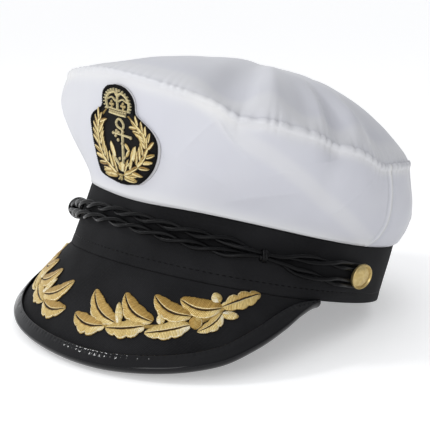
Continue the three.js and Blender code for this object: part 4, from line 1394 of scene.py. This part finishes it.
form = bmesh.new()
form.loops.layers.uv.new("cloth")
for side, branch in branches.items():
    path = smooth_path(branch, 40)
    add_line(form, on_badge, path, 0.9 * mm, gold_low, 0.6 * mm, tone=0.5)
    for n in range(branch_steps):
        start = round(1 + branch_run * n / branch_steps)
        at = path[start]
        heading = (path[start + 4] - at).normalized()
        for m, leaf in enumerate(fans[side]):
            turn = math.radians(side * -leaf["turn"])
            way = Vector((heading.x * math.cos(turn) - heading.y * math.sin(turn),
                          heading.x * math.sin(turn) + heading.y * math.cos(turn)))
            length = leaf["length"] * (1 - 0.03 * n)
            widest, thinner = leaf_girth[side]
            low = gold_low + 0.16 * mm * ((m + 1) % 3)
            tones = (0.36 + 0.12 * ((m + 2 * n) % 3), 0.78)
            add_leaf(form, on_badge, at + way * 0.8, at + way * length, (widest - thinner * n) * mm,
                     low, gold_rise, rows=12, tones=tones, cord_and_highlight_tone=0.6,
                     has_rib=(m + n) % 2 == 0, outline=leaf_gap_and_shade_edge)
for stalk, tip in low_leaves:
    add_leaf(form, on_badge, Vector(stalk), Vector(tip), 3.6 * mm, gold_low, gold_rise, rows=12,
             tones=(0.55, 0.8), cord_and_highlight_tone=0.7, outline=leaf_gap_and_shade_edge)
for path in tie_lines:
    add_line(form, on_badge, smooth_path(path, 6), 1.0 * mm, gold_low, 1.0 * mm, tone=0.75)
turn_threads(form, 0.6)
finish_piece("badge_wreath_thread", form, badge_gold, ["badge_wreath"], recalculate=True)

# %% [markdown]
# ## The crown over the wreath
#
# The crown is drawn as an embroiderer would: first the band and the arches as lines, then a row
# of beads for the pearls, short rays round the outside, and an ornament in each opening.

# %% The badge's crown
ray_middle = Vector((1.7, 50.4))
ray_count = 19
ray_start = -117
ray_turn = 13
pearl_count = 8
ornament_beads = [(0, 1.1), (-1.4, -0.3), (1.4, -0.3), (0, -0.5), (0, -1.9)]
crown_lines = [
    dict(path=[(-5.5, 44.7), (1.9, 44.2), (9.2, 44.2)], width=1.3),
    dict(path=[(-5.8, 47.3), (2.0, 46.8), (10.0, 47.1)], width=0.8),
    dict(path=[(-6.9, 46.4), (-8.6, 51.2), (-5.6, 54.8), (-0.4, 56.2), (1.6, 54.6)], width=1.3),
    dict(path=[(11.0, 46.6), (12.1, 51.2), (9.6, 54.6), (5.4, 56.0), (2.8, 54.4)], width=1.3),
    dict(path=[(2.2, 47.0), (2.1, 51.4), (2.3, 56.4)], width=1.3),
    dict(path=[(-6.5, 52.0), (-2.9, 53.2), (0.8, 51.4)], width=0.9),
    dict(path=[(3.3, 51.4), (6.7, 52.9), (10.8, 51.8)], width=0.9),
]
form = bmesh.new()
form.loops.layers.uv.new("cloth")
for row in crown_lines:
    path = smooth_path(row["path"], 16)
    add_line(form, on_badge, path, row["width"] * mm, gold_low, gold_rise, tone=0.88)
for n in range(pearl_count):
    bead_y = 45.9 - 0.4 * math.sin(math.pi * n / (pearl_count - 1))
    add_bead(form, on_badge, -4.9 + 1.98 * n, bead_y, 0.85 * mm, gold_low, gold_rise)
for n in range(ray_count):
    turn = math.radians(ray_start + ray_turn * n)
    inner = ray_middle + Vector((11.0 * math.sin(turn), 6.6 * math.cos(turn)))
    outer = ray_middle + Vector((12.5 * math.sin(turn), 8.0 * math.cos(turn)))
    path = [inner, inner.lerp(outer, 0.5), outer]
    add_line(form, on_badge, path, 0.85 * mm, gold_low, gold_rise, tone=0.92)
for x in (-3.1, 7.3):
    for dx, dy in ornament_beads:
        add_bead(form, on_badge, x + dx, 49.7 + dy, 0.85 * mm, gold_low, gold_rise, tone=0.8)
add_bead(form, on_badge, 2.3, 57.0, 1.1 * mm, gold_low, gold_rise)
turn_threads(form, 0)
finish_piece("badge_crown_thread", form, badge_gold, ["badge_crown"], recalculate=True)

# %% [markdown]
# ## The fouled anchor
#
# The shank, ring, stock and arms are lines, the flukes are leaves without a rib, and the rope
# that is wound round the shank is a run of beads and two small leaves.

# %% The anchor and its rope
anchor_lines = [
    dict(path=[(5.6, 36.6), (5.3, 28.0), (4.9, 18.0)], width=1.4),
    dict(path=[(5.2, 36.6), (1.8, 37.5), (0.3, 39.6), (2.2, 41.9), (5.0, 41.4), (6.9, 39.2),
               (6.0, 36.8)], width=1.15),
    dict(path=[(-1.8, 33.8), (5.0, 33.6), (12.0, 33.2)], width=1.15),
    dict(path=[(-3.6, 21.6), (0.4, 17.4), (3.9, 15.6), (7.8, 16.8), (12.8, 21.0)], width=1.4),
]
anchor_leaves = [
    dict(stalk=(-1.8, 20.2), tip=(-5.9, 28.8), width=4.2),
    dict(stalk=(11.7, 19.8), tip=(15.5, 29.2), width=4.4),
    dict(stalk=(3.5, 13.0), tip=(3.9, 18.8), width=7.4),
    dict(stalk=(7.2, 29.3), tip=(11.0, 25.6), width=2.5),
    dict(stalk=(10.6, 25.8), tip=(7.7, 21.8), width=2.3),
]
rope_beads = [(-2.5, 33.8), (12.5, 33.2), (0.6, 35.3), (2.4, 34.6), (-0.3, 32.5), (1.7, 30.4),
              (5.2, 28.9), (6.7, 21.4), (2.3, 20.2), (6.2, 35.6)]
form = bmesh.new()
form.loops.layers.uv.new("cloth")
for row in anchor_lines:
    path = smooth_path(row["path"], 20)
    add_line(form, on_badge, path, row["width"] * mm, gold_low, gold_rise, tone=0.88)
for row in anchor_leaves:
    add_leaf(form, on_badge, Vector(row["stalk"]), Vector(row["tip"]), row["width"] * mm, gold_low,
             gold_rise, rows=12, tones=(0.6, 0.85), cord_and_highlight_tone=0.75, has_rib=False, outline=0.9)
for x, y in rope_beads:
    add_bead(form, on_badge, x, y, 1.05 * mm, gold_low, gold_rise * 1.2)
turn_threads(form, 0.4)
finish_piece("badge_anchor_thread", form, badge_gold, ["badge_anchor"], recalculate=True)

# %% [markdown]
# ## The chin cord
#
# Four round cords run from button to button round the front, as two loosely twisted pairs,
# one over the other. They part to pass a button's shank and are drawn together in two slide
# knots. The route is a table of places from the right button at -1 to the left one at 1.

# %% The route of the cord
strand_radius = 1.25 * mm
strand_gap = 0.55 * mm
button_angle = 93
shank_width = 3.2 * mm
pair_radius = strand_radius + strand_gap / 2
flat_stand_off = gap + strand_radius
round_stand_off = flat_stand_off + pair_radius
loose_spacing = 2 * pair_radius + 2 * strand_radius + strand_gap
shank_spacing = shank_width + 2 * (flat_stand_off + pair_radius)

cord_run = [
    dict(place=-1, height=0.44, parted=1, close=0, flat=1, turns=0.5),
    dict(place=-0.957, height=0.441, parted=1, close=0, flat=1, turns=0.5),
    dict(place=-0.903, height=0.443, parted=1, close=0, flat=0, turns=0.5),
    dict(place=-0.78, height=0.46, parted=0.6, close=0, flat=0, turns=1.25),
    dict(place=-0.655, height=0.48, parted=0, close=1, flat=0, turns=2),
    dict(place=-0.505, height=0.505, parted=0, close=1, flat=0, turns=2),
    dict(place=-0.42, height=0.54, parted=0, close=0, flat=0, turns=2.45),
    dict(place=0, height=0.655, parted=0, close=0, flat=0, turns=6.1),
    dict(place=0.387, height=0.587, parted=0, close=0, flat=0, turns=9.75),
    dict(place=0.47, height=0.575, parted=0, close=0, flat=0, turns=10.5),
    dict(place=0.548, height=0.56, parted=0, close=1, flat=0, turns=11),
    dict(place=0.645, height=0.53, parted=0, close=1, flat=0, turns=11),
    dict(place=0.72, height=0.5, parted=0.4, close=0, flat=0, turns=11.3),
    dict(place=0.85, height=0.465, parted=0.9, close=0, flat=0, turns=12.1),
    dict(place=0.903, height=0.455, parted=1, close=0, flat=0, turns=12.5),
    dict(place=0.957, height=0.443, parted=1, close=0, flat=1, turns=12.5),
    dict(place=1, height=0.44, parted=1, close=0, flat=1, turns=12.5),
]
slide_knots = [
    dict(name="cord_knot_left", place=0.596, radius=3.1, length=3.8, turns=3, cord=0.9),
    dict(name="cord_knot_right", place=-0.58, radius=5.6, length=11.0, turns=5, cord=1.45),
]
knot_squeeze = 0.42
height_of_cord, cord_parted, cord_close, cord_flat, cord_turns = (
    curve_through(cord_run, column) for column in ("height", "parted", "close", "flat", "turns"))


def outside_band(angle, height, stand_off):
    share = height / band_top(angle)
    along = band_point(angle + 0.5, share) - band_point(angle - 0.5, share)
    along.z = 0
    along.normalize()
    out = Vector((along.y, -along.x, 0))
    return band_point(angle, share) + out * stand_off, out, along


def mix(first, second, share):
    return first + (second - first) * share


def cord_middle(place):
    """The cord's middle at a place: angle, height, stand-off, spacing, turn and squeeze."""
    close, flat, parted = (min(max(read(place), 0), 1) for read in (cord_close, cord_flat, cord_parted))
    knot = min(slide_knots, key=lambda row: abs(place - row["place"]))
    squeeze = 1 - knot_squeeze * hump(place, knot["place"], 0.035)
    in_knot = (knot["radius"] + knot["cord"]) * mm + gap
    stand_off = mix(mix(round_stand_off, flat_stand_off, flat), in_knot, close)
    spacing = mix(mix(loose_spacing, shank_spacing, parted), 2 * pair_radius * squeeze, close)
    return (place * button_angle, height_of_cord(place) * band_height, stand_off, spacing,
            cord_turns(place) * math.pi, squeeze)


# %% A tube for cord
def add_tube(form, centres, outs, radius_at, sides, along_length):
    """A closed tube along a run of points."""
    chart = form.loops.layers.uv.verify()
    count = len(centres)
    made = bmesh.ops.create_grid(form, x_segments=sides, y_segments=count - 1, size=0.5, calc_uvs=True)
    corners = made["verts"]
    faces = {face for corner in corners for face in corner.link_faces}
    stretch_chart(faces, chart, (2 * math.pi * radius_at(0.5), along_length))
    for corner in corners:
        turn = 2 * math.pi * (corner.co.x + 0.5)
        n = round((corner.co.y + 0.5) * (count - 1))
        ahead = (centres[min(n + 1, count - 1)] - centres[max(n - 1, 0)]).normalized()
        square = (outs[n] - ahead * outs[n].dot(ahead)).normalized()
        up = ahead.cross(square)
        radius = radius_at(n / (count - 1))
        corner.co = centres[n] + (square * math.cos(turn) + up * math.sin(turn)) * radius
    bmesh.ops.remove_doubles(form, verts=corners, dist=same_spot)
    open_edges = [edge for edge in form.edges if edge.is_boundary]
    bmesh.ops.holes_fill(form, edges=open_edges, sides=sides)


# %% The four strands
strand_steps = 460
strand_sides = 12
strand_length = 330 * mm
strand_number = 0
for pair in (1, -1):
    for member in (1, -1):
        strand_number += 1
        centres, outs, squeezes = [], [], []
        for n in range(strand_steps + 1):
            angle, height, stand_off, spacing, turn, squeeze = cord_middle(2 * n / strand_steps - 1)
            swing = member * pair_radius * squeeze
            height += pair * spacing / 2 + swing * math.sin(turn)
            point, out, _ = outside_band(angle, height, stand_off + swing * math.cos(turn))
            centres.append(point)
            outs.append(out)
            squeezes.append(squeeze)
        form = bmesh.new()
        form.loops.layers.uv.new("cloth")
        add_tube(form, centres, outs,
                 lambda share: strand_radius * (0.4 + 0.6 * squeezes[round(share * strand_steps)]),
                 strand_sides, strand_length)
        name = f"cord_strand_{strand_number}"
        finish_piece(name + "_cord", form, cord_satin, [name], recalculate=True)

# %% [markdown]
# ## The slide knots
#
# A slide knot is the cord's own end wound several times round the strands. The winding is a
# helix whose radius swells in the middle, so the knot is a small barrel of turns.

# %% Wound knots
knot_steps = 36
knot_sides = 10
knot_cord_length = 120 * mm
for knot in slide_knots:
    angle, height, stand_off, *_ = cord_middle(knot["place"])
    centre, out, along = outside_band(angle, height, stand_off)
    up = along.cross(out)
    centres, outs = [], []
    count = knot["turns"] * knot_steps
    for n in range(count + 1):
        share = n / count
        turn = 2 * math.pi * knot["turns"] * share
        swell = 0.72 + 0.28 * math.sin(math.pi * share)
        way = out * math.cos(turn) + up * math.sin(turn)
        from_middle = along * (share - 0.5) * knot["length"] * mm
        centres.append(centre + from_middle + way * knot["radius"] * swell * mm)
        outs.append(way)
    form = bmesh.new()
    form.loops.layers.uv.new("cloth")
    add_tube(form, centres, outs, lambda share: knot["cord"] * mm, knot_sides, knot_cord_length)
    finish_piece(knot["name"] + "_cord", form, cord_satin, [knot["name"]], recalculate=True)

# %% [markdown]
# ## The buttons
#
# Each button is stamped from thin brass: a dome inside a raised rim, on a shank. Half its
# outline is drawn as a few edges and spun round its axis, which is how such a thing is turned.
# A faint cross is raised on the dome. The cord pulls at the shank, so the button leans a
# little forwards and nods down.

# %% Spun brass buttons
button_radius = 7.4 * mm
button_thickness = 3 * mm
shank_length = flat_stand_off + strand_radius + gap
head_outline = [(0.90, 0.0), (0.97, 0.06), (1.0, 0.2), (1.0, 0.5), (0.99, 0.68), (0.96, 0.8),
                (0.925, 0.74), (0.905, 0.5), (0.875, 0.42), (0.83, 0.46), (0.74, 0.58),
                (0.55, 0.74), (0.3, 0.82), (0.12, 0.86), (0, 0.86)]
button_lean = 0.11
button_nod = 0.16
cross_width = 0.7 * mm
cross_height = 0.22 * mm
for name, place in (("button_left", 1), ("button_right", -1)):
    angle, height, *_ = cord_middle(place)
    foot, out, along = outside_band(angle, height, gap)
    outline = [(0, 0), (shank_width / 2, 0), (shank_width / 2, shank_length)]
    outline += [(button_radius * x, shank_length + button_thickness * z) for x, z in head_outline]
    form = bmesh.new()
    form.loops.layers.uv.new("cloth")
    spots = [form.verts.new((x, 0, z)) for x, z in outline]
    edges = [form.edges.new(ends) for ends in zip(spots, spots[1:])]
    bmesh.ops.spin(form, geom=spots + edges, cent=(0, 0, 0), axis=(0, 0, 1), dvec=(0, 0, 0),
                   angle=2 * math.pi, steps=64, use_merge=True)
    bmesh.ops.remove_doubles(form, verts=form.verts[:], dist=same_spot)
    for corner in form.verts:
        reach = math.hypot(corner.co.x, corner.co.y) / button_radius
        if reach < 0.8 and corner.co.z > shank_length + 0.3 * button_thickness:
            cross = max(hump(corner.co.x, 0, cross_width), hump(corner.co.y, 0, cross_width))
            corner.co.z += cross_height * cross * blend_in(0.75, 0.6, reach)
    up = out.cross(along)
    facing = (out - along * (button_lean * place) - up * button_nod).normalized()
    along = up.cross(facing).normalized()
    head = foot + out * (shank_length + button_thickness / 2)
    foot = head - facing * (shank_length + button_thickness / 2)
    seat = Matrix.Translation(foot) @ Matrix((along, facing.cross(along), facing)).transposed().to_4x4()
    bmesh.ops.transform(form, matrix=seat, verts=form.verts[:])
    finish_piece(name + "_brass", form, brass, [name], recalculate=True)

# %% [markdown]
# ## The table
#
# The cap lies on plain pale paper that reaches far beyond the picture. The paper glows a
# little, as a lit sweep of paper does, so that it stays as white as the studio round it.

# %% A pale floor
floor_radius = 60
form = bmesh.new()
bmesh.ops.create_circle(form, cap_ends=True, segments=96, radius=floor_radius)
mesh = bpy.data.meshes.new("floor")
form.to_mesh(mesh)
form.free()
floor = bpy.data.objects.new("floor", mesh)
bpy.context.scene.collection.objects.link(floor)
paper = Finish("pale paper")
paper.set(Base_Color=(0.92, 0.92, 0.92, 1), Roughness=0.9, Specular_IOR_Level=0.1,
          Emission_Color=(1, 1, 1, 1), Emission_Strength=0.31)
mesh.materials.append(paper.material)

# %% [markdown]
# ## The light
#
# Most of the light comes from the studio itself, a pale room all round, which gives satin its
# soft shades. A small main light from the wearer's right puts a glint on the vinyl and on the
# crown's front, and a broad one from the front opens the shadows of the gold thread.

# %% A pale studio
world = bpy.data.worlds.new("studio")
bpy.context.scene.world = world
world.use_nodes = True
world.node_tree.nodes["Background"].inputs["Color"].default_value = (0.97, 0.98, 1, 1)

# The studio is dimmer behind the cap on the wearer's left, which shades the crown's far side
studio_strength = 0.84
dim_strength = 0.36
dim_side = way_out(115)
room = world.node_tree
looking = room.nodes.new("ShaderNodeTexCoord")
toward_dim = room.nodes.new("ShaderNodeVectorMath")
toward_dim.operation = "DOT_PRODUCT"
toward_dim.inputs[1].default_value = dim_side
dimmed = room.nodes.new("ShaderNodeMapRange")
dimmed.inputs["From Min"].default_value = 0
dimmed.inputs["From Max"].default_value = 1
dimmed.inputs["To Min"].default_value = studio_strength
dimmed.inputs["To Max"].default_value = dim_strength
room.links.new(looking.outputs["Generated"], toward_dim.inputs[0])
room.links.new(toward_dim.outputs["Value"], dimmed.inputs["Value"])
room.links.new(dimmed.outputs["Result"], room.nodes["Background"].inputs["Strength"])

# %% Two lamps
cap_middle = lies @ Vector((0, 0, 45 * mm))


def add_light(name, around, above, distance, size, watts):
    """A square lamp, aimed at the cap, at an angle round the head and above the table."""
    lamp = bpy.data.lights.new(name, "AREA")
    lamp.shape = "SQUARE"
    lamp.size = size
    lamp.energy = watts
    level = way_out(around) * math.cos(math.radians(above))
    way = level + Vector((0, 0, math.sin(math.radians(above))))
    holder = bpy.data.objects.new(name, lamp)
    holder.location = cap_middle + way * distance
    holder.rotation_euler = way.to_track_quat("Z", "Y").to_euler()
    bpy.context.scene.collection.objects.link(holder)
    print(f"{name}: {size} m wide, {watts} W, {distance} m away")


add_light("main light", around=-43, above=42, distance=1.4, size=0.18, watts=3.6)
add_light("front light", around=20, above=20, distance=1.5, size=0.7, watts=5)

# %% [markdown]
# ## The camera
#
# The camera stands at the photograph's angle, to the wearer's left of the peak and a little
# above the table. The focal length is written in pixels of the picture, as it was found by
# matching the cap's edges, and a small shift moves the picture without turning the camera.

# %% The camera
camera_around = 47.499
camera_above = 16.247
camera_distance = 620 * mm
picture_width = 430
focal_pixels = 992
middle_right = 10.44
middle_down = 52.35

camera_way = way_out(camera_around) * math.cos(math.radians(camera_above))
camera_way += Vector((0, 0, math.sin(math.radians(camera_above))))
camera_right = Vector((math.cos(math.radians(camera_around)), math.sin(math.radians(camera_around)), 0))
camera_up = camera_way.cross(camera_right)
turned = Matrix((camera_right, camera_up, camera_way)).transposed().to_4x4()
lens = bpy.data.cameras.new("camera")
lens.sensor_width = 36
lens.sensor_fit = "HORIZONTAL"
lens.lens = focal_pixels / picture_width * lens.sensor_width
lens.shift_x = -middle_right / picture_width
lens.shift_y = middle_down / picture_width
lens.clip_start = 0.01
camera = bpy.data.objects.new("camera", lens)
camera.matrix_world = Matrix.Translation(lies.translation + camera_way * camera_distance) @ turned
bpy.context.scene.collection.objects.link(camera)
bpy.context.scene.camera = camera
bpy.context.scene.view_settings.view_transform = "Standard"
print("camera stands", round(camera.matrix_world.translation.z, 3), "m above the table")

# %% [markdown]
# ## Finish
#
# The last step brings the scene up to date.

# %% Finish
bpy.context.view_layer.update()
